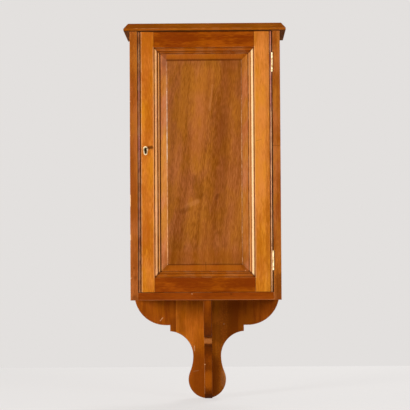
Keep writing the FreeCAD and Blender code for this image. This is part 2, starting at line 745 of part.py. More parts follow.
def escutcheon_outline(y, thickness):
    """Two circles joined by their outer tangents, round end up."""
    tail_z = KEY_Z + ESCUTCHEON_TAIL_R + ESCUTCHEON_R - ESCUTCHEON_L
    dip = (ESCUTCHEON_TAIL_R - ESCUTCHEON_R) / (KEY_Z - tail_z)
    out = math.sqrt(1 - dip ** 2)

    def at(centre_z, radius, side):
        return Vector(KEY_X + side * radius * out, y, centre_z + radius * dip)

    left, right = at(KEY_Z, ESCUTCHEON_R, -1), at(KEY_Z, ESCUTCHEON_R, 1)
    tail_left, tail_right = at(tail_z, ESCUTCHEON_TAIL_R, -1), at(tail_z, ESCUTCHEON_TAIL_R, 1)
    edges = [
        arc(left, Vector(KEY_X, y, KEY_Z + ESCUTCHEON_R), right),
        line(right, tail_right),
        arc(tail_right, Vector(KEY_X, y, tail_z - ESCUTCHEON_TAIL_R), tail_left),
        line(tail_left, left),
    ]
    return prism(edges, Vector(0, thickness, 0))


def keyhole_escutcheon():
    plate = escutcheon_outline(FRONT - ESCUTCHEON_PROUD, ESCUTCHEON_T + ESCUTCHEON_PROUD)
    return cut_all(plate, keyhole(FRONT - ESCUTCHEON_PROUD, FRONT + ESCUTCHEON_T))


def lock_screw_heads():
    x = (LOCK_X[0] + LOCK_SCREW_INSET, SIGHT_L - GROOVE_D - LOCK_SCREW_WOOD)
    z = (LOCK_Z[0] + LOCK_SCREW_INSET, LOCK_Z[1] - LOCK_SCREW_INSET)
    y = DOOR_BACK + LOCK_PLATE_T + LOCK_CAP_H
    return [Vector(at_x, y, at_z) for at_x in x for at_z in z]


def lock_screw_holes():
    return [screw_hole(head, TO_FRONT, LOCK_SCREW) for head in lock_screw_heads()]


def lock_screws():
    return Part.makeCompound([screw(head, TO_FRONT, LOCK_SCREW) for head in lock_screw_heads()])


def lock_plate():
    plate = block(LOCK_X, (DOOR_BACK, DOOR_BACK + LOCK_PLATE_T), LOCK_Z)
    return cut_all(plate, keyhole(DOOR_BACK, DOOR_BACK + LOCK_PLATE_T) + lock_screw_holes())


def lock_cap():
    """Box over the bolt, with a window for it in the edge towards the left side."""
    y = (DOOR_BACK + LOCK_PLATE_T, DOOR_BACK + LOCK_PLATE_T + LOCK_CAP_H)
    cap = block(LOCK_X, y, LOCK_Z)
    cap = bevel_arris(cap, lambda at: near(at.y, y[1]))
    inner_x = (LOCK_X[0] + LOCK_WALL, LOCK_X[1] - LOCK_WALL)
    inner_z = (LOCK_Z[0] + LOCK_WALL, LOCK_Z[1] - LOCK_WALL)
    hollow = block(inner_x, (y[0], y[1] - LOCK_WALL), inner_z)
    window_z = (BOLT_Z[0] - BOLT_FIT, BOLT_Z[1] + BOLT_FIT)
    window = block((LOCK_X[0], inner_x[0]), (y[0], BOLT_Y[1] + BOLT_FIT), window_z)
    return cut_all(cap.cut(hollow).cut(window), lock_screw_holes())


def lock_bolt():
    """Shown drawn back, with its end flush with the lock's edge."""
    bolt = block((LOCK_X[0], LOCK_X[0] + BOLT_L), BOLT_Y, BOLT_Z)
    notch = (KEY_X - BOLT_NOTCH_W / 2, KEY_X + BOLT_NOTCH_W / 2)
    return bolt.cut(block(notch, BOLT_Y, (BOLT_Z[0], BOLT_Z[0] + BOLT_NOTCH_D)))


def fin_screws():
    from_back, from_above = fin_screw_places()
    screws = [screw(head, TO_FRONT, FIN_SCREW) for head in from_back]
    screws += [screw(head, DOWN, FIN_SCREW) for head in from_above]
    return Part.makeCompound(screws)


def all_nodes():
    nodes = {
        "top_board": top_board(),
        "side_left": side_left(),
        "side_right": side_right(),
        "bottom_board": bottom_board(),
        "shelf_lower": shelf(LOWER_SHELF_Z),
        "shelf_upper": shelf(UPPER_SHELF_Z),
        "hanging_rail": hanging_rail(),
        "back_board_left": back_board(-1),
        "back_board_middle": back_board(0),
        "back_board_right": back_board(1),
        "bracket_fin": bracket_fin(),
        "fin_screws": fin_screws(),
        "back_nails": Part.makeCompound([nail(head, TO_FRONT, BACK_NAIL) for head in back_nail_places()]),
        "top_nails": Part.makeCompound([nail(head, DOWN, TOP_NAIL) for head in top_nail_places()]),
        "lock_stile": lock_stile(),
        "hinge_stile": hinge_stile(),
        "top_rail": rail("top"),
        "bottom_rail": rail("bottom"),
        "door_panel": door_panel(),
        "keyhole_escutcheon": keyhole_escutcheon(),
        "lock_plate": lock_plate(),
        "lock_cap": lock_cap(),
        "lock_bolt": lock_bolt(),
        "lock_screws": lock_screws(),
        "hinge_screws_side": leaf_screws(INNER, 1),
        "hinge_screws_door": leaf_screws(DOOR_R, -1),
    }
    nodes.update(mouldings())
    for name, z in (("upper", UPPER_HINGE_Z), ("lower", LOWER_HINGE_Z)):
        nodes[name + "_hinge_side_leaf"] = hinge_leaf(z, INNER, 1, 0)
        nodes[name + "_hinge_door_leaf"] = hinge_leaf(z, DOOR_R, -1, 1)
        nodes[name + "_hinge_pin"] = hinge_pin(z)
    return nodes


os.makedirs("parts", exist_ok=True)
for node, shape in all_nodes().items():
    shape.exportStep("parts/" + node + ".step")
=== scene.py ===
import json
import math
from typing import NamedTuple

import bmesh
import bpy
from bpy.props import FloatProperty, FloatVectorProperty, PointerProperty
from mathutils import Color, Matrix, Vector


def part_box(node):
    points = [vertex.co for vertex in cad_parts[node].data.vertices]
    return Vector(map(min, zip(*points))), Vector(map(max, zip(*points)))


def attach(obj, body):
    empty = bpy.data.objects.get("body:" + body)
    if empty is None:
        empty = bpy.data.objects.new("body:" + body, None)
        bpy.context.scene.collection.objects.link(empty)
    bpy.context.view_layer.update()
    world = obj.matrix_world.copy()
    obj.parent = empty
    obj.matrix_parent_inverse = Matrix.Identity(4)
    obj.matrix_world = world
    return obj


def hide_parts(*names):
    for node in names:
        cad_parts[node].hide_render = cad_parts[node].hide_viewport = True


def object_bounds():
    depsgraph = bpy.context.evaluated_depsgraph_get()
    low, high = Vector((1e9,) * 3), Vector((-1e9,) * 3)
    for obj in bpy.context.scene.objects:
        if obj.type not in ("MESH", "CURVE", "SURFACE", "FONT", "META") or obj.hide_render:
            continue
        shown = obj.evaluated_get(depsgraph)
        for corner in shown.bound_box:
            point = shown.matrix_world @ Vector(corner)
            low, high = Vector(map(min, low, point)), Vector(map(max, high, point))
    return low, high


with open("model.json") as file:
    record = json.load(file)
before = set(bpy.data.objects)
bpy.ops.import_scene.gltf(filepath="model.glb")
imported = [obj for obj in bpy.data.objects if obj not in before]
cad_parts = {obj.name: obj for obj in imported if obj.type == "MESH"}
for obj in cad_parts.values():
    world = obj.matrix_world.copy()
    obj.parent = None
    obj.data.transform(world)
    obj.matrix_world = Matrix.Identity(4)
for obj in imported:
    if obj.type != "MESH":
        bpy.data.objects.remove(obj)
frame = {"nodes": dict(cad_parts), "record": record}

bl_info = {
    "name": "Wall cabinet finish",
    "version": (1, 0, 0),
    "blender": (4, 5, 0),
    "location": "3D View > Sidebar > Cabinet",
    "description": "Dresses a wall cabinet in shellacked wood and brass, on a plain stage",
    "category": "Object",
}

# What the frame gives, in metres. The front faces -Y.
CAD_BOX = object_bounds()
NODES = frame["nodes"]
RECORD = frame["record"]
BODY = {node: body for body, members in RECORD["behaviour"]["bodies"].items() for node in members}
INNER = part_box("hanging_rail")[1].x       # half the width inside the box
FRONT, BACK = (corner.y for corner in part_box("side_left"))
DOOR_LEFT, DOOR_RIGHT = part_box("lock_stile")[0].x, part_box("hinge_stile")[1].x
SIGHT_LEFT, SIGHT_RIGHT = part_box("moulding_left")[0].x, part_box("moulding_right")[1].x
SIGHT_HEIGHT = tuple(corner.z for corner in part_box("moulding_left"))
BOTTOM_EDGE, BOX_FLOOR = (corner.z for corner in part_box("bottom_board"))
BOX_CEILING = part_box("top_board")[0].z
DOOR_HEIGHT = (BOX_FLOOR, BOX_CEILING)
FIELD_FACE, PANEL_BACK = (corner.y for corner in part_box("door_panel"))
KEY = sum(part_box("keyhole_escutcheon"), Vector()) / 2
GRAIN_AXIS = {"X": 0, "Z": 2}

# Places on the door's profiles, from the frame inwards
EDGE_BEAD = 0.0055        # width of the bead along a stile's outer edge
BEAD_CREST = 0.0053       # crest of the moulding's large bead
VALLEY = 0.0096           # valley between its two beads
SMALL_CREST = 0.0130      # crest of its small bead
MOULDING_FOOT = 0.0162    # where it meets the panel

# Limits that tell one kind of face from another
MERGE = 1e-6
TOUCH = 1e-4
SMOOTH_ANGLE = math.radians(50)
STRIP_WIDTH = 0.0022      # widest face that eases an edge
SQUARE_ON = 0.97          # how straight a main face looks along an axis
END_GRAIN_RISE = 5.0      # how fast a face darkens as it turns across the grain

# Marks of wear and dirt, and of painted shade and painted highlight
MARK_REACH = 0.012        # how far a mark reaches in depth
MARK_FADE = 0.0025        # over what depth it fades out there
MARK_CORE = 0.3           # share of its width that has the full strength
MARK_EDGE_RATE = 240.0    # unevenness of its edge, per metre
MARK_GAP_RATE = 70.0      # gaps along it, per metre
MARK_GAPS = (0.56, 0.42)  # noise from which a gap starts to where it is full
LEAST_RUN = 1e-9          # squared length that a spot counts as
EDGE_MARK = FRONT - 0.0095    # depth of a mark that only just turns the corner

# Worn arrises with painted highlight, painted shade in quirks, stained metal: rate per metre, noise
# spread, least strength
ARRIS_RATE, ARRIS_SPREAD, ARRIS_LEAST = 38.0, (0.42, 0.62), 0.1
CREVICE_RATE, CREVICE_SPREAD, CREVICE_LEAST = 60.0, (0.3, 0.6), 0.7
STAIN_SPREAD = (0.42, 0.66)

# Grain, as the rate per metre across the board and the share of it along the board
DRIFT = (9.0, 0.35)
FLECKS = (560.0, 0.12)
CLOUDS = (26.0, 0.4)
HUE_PATCHES = (33.0, 0.4)
FIBRES = (900.0, 0.03)
PORES = (1400.0, 0.05)
RUBBING = (900.0, 0.08)   # scratches on metal
BAND_STRETCH = 0.03
STREAK_STRETCH = 0.025
STREAKS_PER_BAND = 4.5
STREAK_SHARE = 0.35       # strength of the streaks beside that of the bands
DRIFT_REACH = 0.012       # how far the bands wander
FIGURE_SPREAD = (0.32, 0.68)    # noise that counts as darkest and as lightest
HUE_SPREAD = (0.34, 0.66)
FIBRE_SPREAD = (0.3, 0.7)
PORE_SPREAD = (0.6, 0.74)
SHIFT_WAY = (1.0, 0.37, 0.61)    # way in which each board takes another stretch of grain

# Colours that multiply the wood's own
YELLOWER = (0.99, 1.0, 0.62, 1.0)
PINKER = (1.02, 0.97, 1.4, 1.0)
IN_PORES = (0.36, 0.28, 0.2, 1.0)
END_GRAIN = (0.78, 0.72, 0.65)
LEVEL_BORDER = (0.6, 0.39, 0.0)    # the panel's border above and below the field
FIBRE_SHADE = 0.1
PORE_SHADE = 0.2

# Polish: what makes a surface rougher, and its sheen
DULL_PATCHES = 0.1
DULL_INSIDE = 0.3
DULL_ARRIS = 0.4
DULL_STAINS = 0.25
DULL_RUBBING = 0.12
FIBRE_RELIEF = 0.5
GRAIN_BUMP = {"Strength": 0.12, "Distance": 0.0005}
METAL_BUMP = {"Strength": 0.15, "Distance": 0.0002}
SHELLAC = {"Specular IOR Level": 0.14, "Specular Tint": (1.0, 0.6, 0.2, 1.0)}
POLISHED = 0.44           # roughness of most boards
MATT = 0.85               # of the dusty top
DULL_FIN = 0.8            # of the fin
BARE = 0.6                # of the wood inside

# Screw heads
SCREW_SIDES = 24
SCREW_DEPTH = 0.45        # of the radius
SCREW_FOOT = 0.5          # of the radius
CUT = 1e-7                # how near to a cut a corner counts as on it
LEVEL = 1e-9              # how flat the top of a head lies

# Stage: a floor on which the pools of the lamps stay faint
FLOOR_SHADE = 0.25        # share of its colour that takes light and shadow
FLOOR_GLOW = 0.8          # share that it shows everywhere
FLOOR_ROUGHNESS = 0.9
AMBIENT = 0.13
LAMP_AIM = (0.0, -0.15, -0.35)
LAMPS = (                 # name, place, width, height, watts
    ("key", (-2.0, -2.6, -0.15), 0.6, 0.8, 80.0),
    ("fill", (2.0, -2.6, 0.15), 0.6, 1.0, 28.0),
    ("behind", (0.9, 2.8, 1.3), 1.0, 1.4, 45.0),
)
FILM_WIDTH = 36.0         # millimetres


# Settings


def tone(name, description, red, green, blue):
    share = tuple(value / 255 for value in (red, green, blue))
    return FloatVectorProperty(name=name, description=description, subtype="COLOR_GAMMA", size=3,
                               min=0.0, max=1.0, default=share)


def dark_wood(board, *parts):
    return tone(board.capitalize() + ", dark", "Darker wood of the " + board, *parts)


def light_wood(board, *parts):
    return tone(board.capitalize() + ", light", "Lighter wood of the " + board, *parts)


def length(name, description, default):
    return FloatProperty(name=name, description=description, unit="LENGTH", min=0.0, precision=4,
                         default=default)


def angle(name, description, degrees):
    return FloatProperty(name=name, description=description, subtype="ANGLE",
                         default=math.radians(degrees))


class CabinetColours(bpy.types.PropertyGroup):
    lock_stile_dark: dark_wood("lock stile", 175, 92, 15)
    lock_stile_light: light_wood("lock stile", 206, 125, 36)
    hinge_stile_dark: dark_wood("hinge stile", 184, 102, 22)
    hinge_stile_light: light_wood("hinge stile", 215, 133, 47)
    # the edge beads' pale pinkish tones are partly a painted reflection
    edge_bead_dark: dark_wood("edge beads", 128, 72, 48)
    edge_bead_light: light_wood("edge beads", 178, 112, 84)
    rail_dark: dark_wood("door rails", 121, 46, 0)
    rail_light: light_wood("door rails", 162, 79, 4)
    top_dark: dark_wood("top board", 142, 70, 5)
    top_light: light_wood("top board", 168, 92, 14)
    # the top's underside in darker, greyer tones: painted shade
    lower_face_shade_dark: dark_wood("shaded lower face of the top", 108, 62, 22)
    lower_face_shade_light: light_wood("shaded lower face of the top", 136, 86, 40)
    side_dark: dark_wood("side boards", 144, 71, 15)
    side_light: light_wood("side boards", 180, 104, 42)
    bottom_dark: dark_wood("bottom board", 120, 47, 1)
    bottom_light: light_wood("bottom board", 147, 67, 5)
    field_dark: dark_wood("raised field", 124, 62, 12)
    field_light: light_wood("raised field", 176, 105, 44)
    border_dark: dark_wood("panel's border", 172, 96, 36)
    border_light: light_wood("panel's border", 200, 129, 70)
    # the upright mouldings are lighter than the level ones mostly as painted light from the side lamps
    upright_dark: dark_wood("upright mouldings", 178, 104, 44)
    upright_light: light_wood("upright mouldings", 216, 144, 78)
    level_dark: dark_wood("level mouldings", 138, 62, 2)
    level_light: light_wood("level mouldings", 168, 86, 10)
    outer_back_dark: dark_wood("outer back boards", 136, 60, 3)
    outer_back_light: light_wood("outer back boards", 168, 85, 10)
    middle_back_dark: dark_wood("middle back board", 176, 91, 9)
    middle_back_light: light_wood("middle back board", 208, 118, 27)
    fin_dark: dark_wood("bracket fin", 110, 47, 2)
    fin_light: light_wood("bracket fin", 142, 68, 6)
    bare_dark: dark_wood("bare inside", 158, 111, 64)
    bare_light: light_wood("bare inside", 188, 140, 88)
    # pale colour where the polish is gone, also painted as highlights on crests, arrises and the drop's
    # rim
    worn_and_highlight: tone("Worn wood and highlights", "Pale wood along the arrises, and painted highlights on crests", 236, 182, 130)
    # painted highlight on a bead's crest
    crest_highlight: tone("Crest highlight", "Painted highlight on the crest of a bead", 255, 214, 156)
    # pale flaked polish, also painted as a highlight on the field's left edge
    chipped_and_highlight: tone("Chipped polish", "Pale wood where the polish has flaked", 232, 214, 188)
    # colour of real dirt and dark joints, also painted as shade in quirks, gaps, corners and under the
    # top
    grime_and_shade: tone("Grime and shade", "Old dark polish and marks, and painted shade in quirks, gaps and corners", 82, 31, 0)
    # painted shade of the keyhole
    keyhole_shade: tone("Keyhole shade", "Painted black shade of the keyhole", 24, 16, 9)
    brass: tone("Brass", "Rubbed brass", 230, 208, 164)
    tarnish: tone("Tarnish", "Tarnished brass", 150, 106, 62)
    lock_brass: tone("Lock brass", "Dull brass of the lock", 190, 152, 86)
    iron: tone("Iron", "Dark iron of screws and nails", 74, 66, 60)
    rust: tone("Rust", "Rusted iron", 92, 52, 32)
    stage: tone("Stage", "Pale floor and background", 227, 224, 222)


class CabinetSizes(bpy.types.PropertyGroup):
    slot_width: length("Screw slot width", "Width of the slot in a screw head", 0.0008)
    slot_depth: length("Screw slot depth", "Depth of the slot in a screw head", 0.0006)
    leaf_screw_radius: length("Hinge screw head", "Radius of a hinge screw's head", 0.0028)
    lock_screw_radius: length("Lock screw head", "Radius of a lock screw's head", 0.0026)
    fin_screw_radius: length("Fin screw head", "Radius of a fin screw's head", 0.0042)
    floor_width: length("Floor width", "Side of the square floor", 12.0)
    floor_behind: length("Floor behind", "How far behind the back the floor ends", 1.25)
    camera_place: FloatVectorProperty(name="Camera place", description="Where the camera stands",
                                      subtype="TRANSLATION", size=3, default=(0.050, -4.345, -0.5601))
    camera_pitch: angle("Camera pitch", "How far the camera looks up", 1.942)
    camera_yaw: angle("Camera yaw", "How far the camera turns left", 0.708)
    camera_roll: angle("Camera roll", "How far the camera tilts to the right", 0.327)
    camera_lens: FloatProperty(name="Lens", description="Focal length on a 36 mm frame", unit="CAMERA",
                               min=1.0, default=141.98)


def colours():
    return bpy.context.scene.cabinet_colours


def sizes():
    return bpy.context.scene.cabinet_sizes


def linear(colour):
    return (*Color(colour).from_srgb_to_scene_linear(), 1.0)


def board_tones(board):
    """Darker and lighter colour of a board, by the name that its settings start with."""
    hues = colours()
    return linear(getattr(hues, board + "_dark")), linear(getattr(hues, board + "_light"))


# Shader nodes


def put(tree, kind, sockets=None, **settings):
    """Add a node, set it, and fill its sockets with values or with other nodes' sockets."""
    made = tree.nodes.new("ShaderNode" + kind)
    for name, value in settings.items():
        setattr(made, name, value)
    for key, value in (sockets or {}).items():
        if isinstance(value, bpy.types.NodeSocket):
            tree.links.new(value, made.inputs[key])
        else:
            made.inputs[key].default_value = value
    return made


def calc(tree, operation, *values):
    return put(tree, "Math", dict(enumerate(values)), operation=operation).outputs[0]


def span(tree, value, low, high, to_low=0.0, to_high=1.0):
    """Smooth step from to_low to to_high as value goes from low to high."""
    sockets = {"Value": value, "From Min": low, "From Max": high, "To Min": to_low, "To Max": to_high}
    return put(tree, "MapRange", sockets, interpolation_type="SMOOTHSTEP").outputs["Result"]


def mix(tree, factor, first, second, mode="MIX"):
    sockets = {0: factor, 6: first, 7: second}
    return put(tree, "Mix", sockets, data_type="RGBA", blend_type=mode).outputs[2]


def stretched(tree, vector, rate, along):
    """The vector times rate, with its third part, along the grain, also times along."""
    scaled = put(tree, "VectorMath", {0: vector, "Scale": rate}, operation="SCALE").outputs[0]
    return put(tree, "VectorMath", {0: scaled, 1: (1.0, 1.0, along)}, operation="MULTIPLY").outputs[0]


def noise(tree, vector, detail=2.0, roughness=0.5, scale=1.0):
    sockets = {"Vector": vector, "Scale": scale, "Detail": detail, "Roughness": roughness}
    return put(tree, "TexNoise", sockets).outputs["Fac"]


def mask(tree, name):
    """A mask that the piece's own mesh carries on its faces."""
    return put(tree, "Attribute", attribute_name=name).outputs["Fac"]


def new_group(name, inputs, outputs):
    group = bpy.data.node_groups.new(name, "ShaderNodeTree")
    for label, kind, value in inputs:
        socket = group.interface.new_socket(label, in_out="INPUT", socket_type="NodeSocket" + kind)
        if value is not None:
            socket.default_value = value
    for label in outputs:
        group.interface.new_socket(label, in_out="OUTPUT", socket_type="NodeSocketFloat")
    given = group.nodes.new("NodeGroupInput").outputs
    result = group.nodes.new("NodeGroupOutput").inputs
    return group, given, result


def use_group(tree, name, sockets):
    return put(tree, "Group", sockets, node_tree=bpy.data.node_groups[name]).outputs


# Effects that several finishes share


def board_grain_group():
    """Figure of a board whose grain runs along the vector's third part.

    Tone runs from dark to light wood, Hue from yellower to pinker.
    """
    inputs = [("Vector", "Vector", None), ("Bands", "Float", 45.0), ("Band strength", "Float", 0.5),
              ("Fleck strength", "Float", 0.3), ("Cloud strength", "Float", 0.4)]
    group, given, result = new_group("Board grain", inputs, ["Tone", "Hue", "Fibre", "Pore"])
    drift = noise(group, stretched(group, given["Vector"], *DRIFT))
    shift = calc(group, "MULTIPLY", calc(group, "SUBTRACT", drift, 0.5), DRIFT_REACH)
    sideways = put(group, "CombineXYZ", {"X": shift, "Y": shift}).outputs[0]
    moved = put(group, "VectorMath", {0: given["Vector"], 1: sideways}, operation="ADD").outputs[0]

    def part(vector, rate, along, strength, detail):
        wave = noise(group, stretched(group, vector, rate, along), detail)
        return calc(group, "MULTIPLY", span(group, wave, *FIGURE_SPREAD, -0.5, 0.5), given[strength])

    finer = calc(group, "MULTIPLY", given["Bands"], STREAKS_PER_BAND)
    bands = part(moved, given["Bands"], BAND_STRETCH, "Band strength", 3.0)
    streaks = part(moved, finer, STREAK_STRETCH, "Band strength", 2.0)
    flecks = part(given["Vector"], *FLECKS, "Fleck strength", 1.0)
    clouds = part(given["Vector"], *CLOUDS, "Cloud strength", 4.0)
    lines = calc(group, "MULTIPLY_ADD", streaks, STREAK_SHARE, bands)
    total = calc(group, "ADD", calc(group, "ADD", lines, flecks), calc(group, "ADD", clouds, 0.5))
    hue = noise(group, stretched(group, given["Vector"], *HUE_PATCHES))
    fibre = noise(group, stretched(group, moved, *FIBRES))
    pore = noise(group, stretched(group, moved, *PORES))
    group.links.new(span(group, total, 0.0, 1.0), result["Tone"])
    group.links.new(span(group, hue, *HUE_SPREAD), result["Hue"])
    group.links.new(span(group, fibre, *FIBRE_SPREAD), result["Fibre"])
    group.links.new(span(group, pore, *PORE_SPREAD), result["Pore"])


def pale_arris_group():
    """Pale arrises in broken lengths, from use and as a painted highlight."""
    inputs = [("Vector", "Vector", None), ("Amount", "Float", 0.5)]
    group, given, result = new_group("Pale arrises", inputs, ["Mask"])
    lengths = noise(group, given["Vector"], detail=3.0, roughness=0.65, scale=ARRIS_RATE)
    worn_and_highlight = span(group, lengths, *ARRIS_SPREAD, ARRIS_LEAST)
    strip = calc(group, "MULTIPLY", mask(group, "arris"), worn_and_highlight)
    group.links.new(calc(group, "MULTIPLY", strip, given["Amount"]), result["Mask"])


def crevice_shade_group():
    """Painted shade that thickens with the depth behind the face of the door, down to the end of the
    quirk.
    """
    inputs = [("Vector", "Vector", None), ("Start", "Float", 0.001), ("Full", "Float", 0.004),
              ("End", "Float", 0.006)]
    group, given, result = new_group("Crevice shade", inputs, ["Mask"])
    depth = calc(group, "SUBTRACT", put(group, "SeparateXYZ", {0: given["Vector"]}).outputs["Y"], FRONT)
    deep = span(group, depth, given["Start"], given["Full"])
    above = calc(group, "LESS_THAN", depth, given["End"])
    cloudy = noise(group, given["Vector"], detail=3.0, scale=CREVICE_RATE)
    uneven = span(group, cloudy, *CREVICE_SPREAD, CREVICE_LEAST)
    painted_shade = calc(group, "MULTIPLY", deep, above)
    group.links.new(calc(group, "MULTIPLY", painted_shade, uneven), result["Mask"])


def inside_group():
    """The surfaces that lie inside the box when its door is shut."""
    group, given, result = new_group("Inside the box", [("Vector", "Vector", None)], ["Mask"])
    at = put(group, "SeparateXYZ", {0: given["Vector"]}).outputs
    tests = [
        calc(group, "LESS_THAN", calc(group, "ABSOLUTE", at["X"]), INNER + TOUCH),
        calc(group, "GREATER_THAN", at["Y"], PANEL_BACK - TOUCH),
        calc(group, "LESS_THAN", at["Y"], BACK + TOUCH),
        calc(group, "GREATER_THAN", at["Z"], BOX_FLOOR - TOUCH),
        calc(group, "LESS_THAN", at["Z"], BOX_CEILING + TOUCH),
    ]
    within = tests[0]
    for test in tests[1:]:
        within = calc(group, "MULTIPLY", within, test)
    group.links.new(within, result["Mask"])


def stroke_group():
    """A mark along the line between two points, seen from the front, with an uneven edge.

    It stays within reach of the first point's depth, so that it doesn't show on the back.
    """
    inputs = [("Vector", "Vector", None), ("From", "Vector", None), ("To", "Vector", None),
              ("Width", "Float", 0.001), ("Breaks", "Float", 0.0)]
    group, given, result = new_group("Stroke", inputs, ["Mask"])

    def vector(operation, first, second):
        return put(group, "VectorMath", {0: first, 1: second}, operation=operation)

    def flat(point):
        return vector("MULTIPLY", point, (1.0, 0.0, 1.0)).outputs[0]

    start = flat(given["From"])
    run = vector("SUBTRACT", flat(given["To"]), start).outputs[0]
    away = vector("SUBTRACT", flat(given["Vector"]), start).outputs[0]
    along = vector("DOT_PRODUCT", away, run).outputs["Value"]
    full = calc(group, "MAXIMUM", vector("DOT_PRODUCT", run, run).outputs["Value"], LEAST_RUN)
    share = put(group, "Clamp", {"Value": calc(group, "DIVIDE", along, full)}).outputs[0]
    nearest = put(group, "VectorMath", {0: run, "Scale": share}, operation="SCALE").outputs[0]
    distance = vector("DISTANCE", away, nearest).outputs["Value"]
    ragged = noise(group, given["Vector"], detail=3.0, scale=MARK_EDGE_RATE)
    edge = calc(group, "MULTIPLY", calc(group, "ADD", ragged, 0.5), given["Width"])
    inner = calc(group, "MULTIPLY", edge, MARK_CORE)
    offset = vector("SUBTRACT", given["Vector"], given["From"]).outputs[0]
    depth = calc(group, "ABSOLUTE", put(group, "SeparateXYZ", {0: offset}).outputs["Y"])
    near = span(group, depth, MARK_REACH, MARK_REACH - MARK_FADE)
    gaps = span(group, noise(group, given["Vector"], scale=MARK_GAP_RATE), *MARK_GAPS)
    whole = calc(group, "SUBTRACT", 1.0, calc(group, "MULTIPLY", gaps, given["Breaks"]))
    line = calc(group, "MULTIPLY", span(group, distance, edge, inner), near)
    group.links.new(calc(group, "MULTIPLY", line, whole), result["Mask"])


# Finishes


def empty_material(name):
    material = bpy.data.materials.new(name)
    material.use_nodes = True
    material.node_tree.nodes.clear()
    return material, material.node_tree


def shade(tree, sockets):
    """End a material with a shader of these sockets."""
    shader = put(tree, "BsdfPrincipled", sockets)
    put(tree, "OutputMaterial", {"Surface": shader.outputs[0]})


def with_marks(tree, place, colour, marks):
    for mark in marks:
        sockets = {"Vector": place, "From": mark.start, "To": mark.end, "Width": mark.width,
                   "Breaks": mark.breaks}
        share = calc(tree, "MULTIPLY", use_group(tree, "Stroke", sockets)["Mask"], mark.strength)
        colour = mix(tree, share, colour, linear(getattr(colours(), mark.hue)))
    return colour


def wood(name, board, along="Z", lean=0.0, shift=0.0, bands=45.0, figure=(0.5, 0.3, 0.4), second=None,
         grime_and_shade=None, wear_and_highlight=0.5, end_tint=END_GRAIN, roughness=POLISHED, marks=()):
    """Shellacked wood in the tones of a board.

    figure gives the strengths of bands, flecks and clouds, second names the tones of the faces in the
    piece's zone mask, grime is (start, full, end, strength) of painted shade in quirks, and marks are
    rows of Mark.
    """
    hues = colours()
    material, tree = empty_material(name)
    place = put(tree, "TexCoord").outputs["Object"]
    turn = math.pi / 2 if along == "X" else lean
    moved = tuple(shift * part for part in SHIFT_WAY)
    sockets = {"Vector": place, "Location": moved, "Rotation": (0.0, turn, 0.0)}
    grain = use_group(tree, "Board grain", {
        "Vector": put(tree, "Mapping", sockets).outputs[0], "Bands": bands, "Band strength": figure[0],
        "Fleck strength": figure[1], "Cloud strength": figure[2],
    })
    inside = use_group(tree, "Inside the box", {"Vector": place})["Mask"]

    colour = mix(tree, grain["Tone"], *board_tones(board))
    if second:
        colour = mix(tree, mask(tree, "zone"), colour, mix(tree, grain["Tone"], *board_tones(second)))
    colour = mix(tree, 1.0, colour, mix(tree, grain["Hue"], YELLOWER, PINKER), "MULTIPLY")
    colour = mix(tree, inside, colour, mix(tree, grain["Tone"], *board_tones("bare")))

    pores = calc(tree, "MULTIPLY", grain["Pore"], PORE_SHADE)
    lines = calc(tree, "MULTIPLY_ADD", grain["Fibre"], FIBRE_SHADE, pores)
    colour = mix(tree, lines, colour, mix(tree, 1.0, colour, IN_PORES, "MULTIPLY"))
    ends = mix(tree, 1.0, colour, (*end_tint, 1.0), "MULTIPLY")
    colour = mix(tree, mask(tree, "end_grain"), colour, ends)
    # painted shade in the quirks, deeper behind the door's face
    if grime_and_shade:
        start, full, end, strength = grime_and_shade
        quirk = {"Vector": place, "Start": start, "Full": full, "End": end}
        painted_shade = calc(tree, "MULTIPLY", use_group(tree, "Crevice shade", quirk)["Mask"], strength)
        colour = mix(tree, painted_shade, colour, linear(hues.grime_and_shade))
    # pale arrises: use and painted highlight
    worn_and_highlight = use_group(tree, "Pale arrises", {"Vector": place, "Amount": wear_and_highlight})["Mask"]
    colour = mix(tree, worn_and_highlight, colour, linear(hues.worn_and_highlight))
    colour = with_marks(tree, place, colour, marks)

    dull = calc(tree, "MULTIPLY_ADD", grain["Hue"], DULL_PATCHES, roughness)
    dull = calc(tree, "MULTIPLY_ADD", inside, DULL_INSIDE, dull)
    dull = calc(tree, "MULTIPLY_ADD", mask(tree, "arris"), DULL_ARRIS, dull)
    relief = calc(tree, "SUBTRACT", calc(tree, "MULTIPLY", grain["Fibre"], FIBRE_RELIEF), grain["Pore"])
    normal = put(tree, "Bump", {"Height": relief, **GRAIN_BUMP}).outputs[0]
    shade(tree, {"Base Color": colour, "Roughness": dull, "Normal": normal, **SHELLAC})
    return material


def metal(name, bright, dull, roughness, spots, marks=()):
    """Rubbed metal, darker in spots and duller in scratches, with marks such as painted shade."""
    material, tree = empty_material(name)
    place = put(tree, "TexCoord").outputs["Object"]
    cloudy = noise(tree, place, detail=4.0, roughness=0.65, scale=spots)
    stains = span(tree, cloudy, *STAIN_SPREAD)
    rub = noise(tree, stretched(tree, place, *RUBBING))
    colour = with_marks(tree, place, mix(tree, stains, linear(bright), linear(dull)), marks)
    rough = calc(tree, "MULTIPLY_ADD", stains, DULL_STAINS, roughness)
    rough = calc(tree, "MULTIPLY_ADD", rub, DULL_RUBBING, rough)
    normal = put(tree, "Bump", {"Height": rub, **METAL_BUMP}).outputs[0]
    shade(tree, {"Base Color": colour, "Metallic": 1.0, "Roughness": rough, "Normal": normal})
    return material


# Pieces


def strip_width(face):
    longest = max(edge.calc_length() for edge in face.edges)
    return 2 * face.calc_area() / longest


def is_arris(face):
    """True on a narrow face that eases an edge."""
    square_on = max(abs(part) for part in face.normal)
    return square_on < SQUARE_ON and strip_width(face) < STRIP_WIDTH


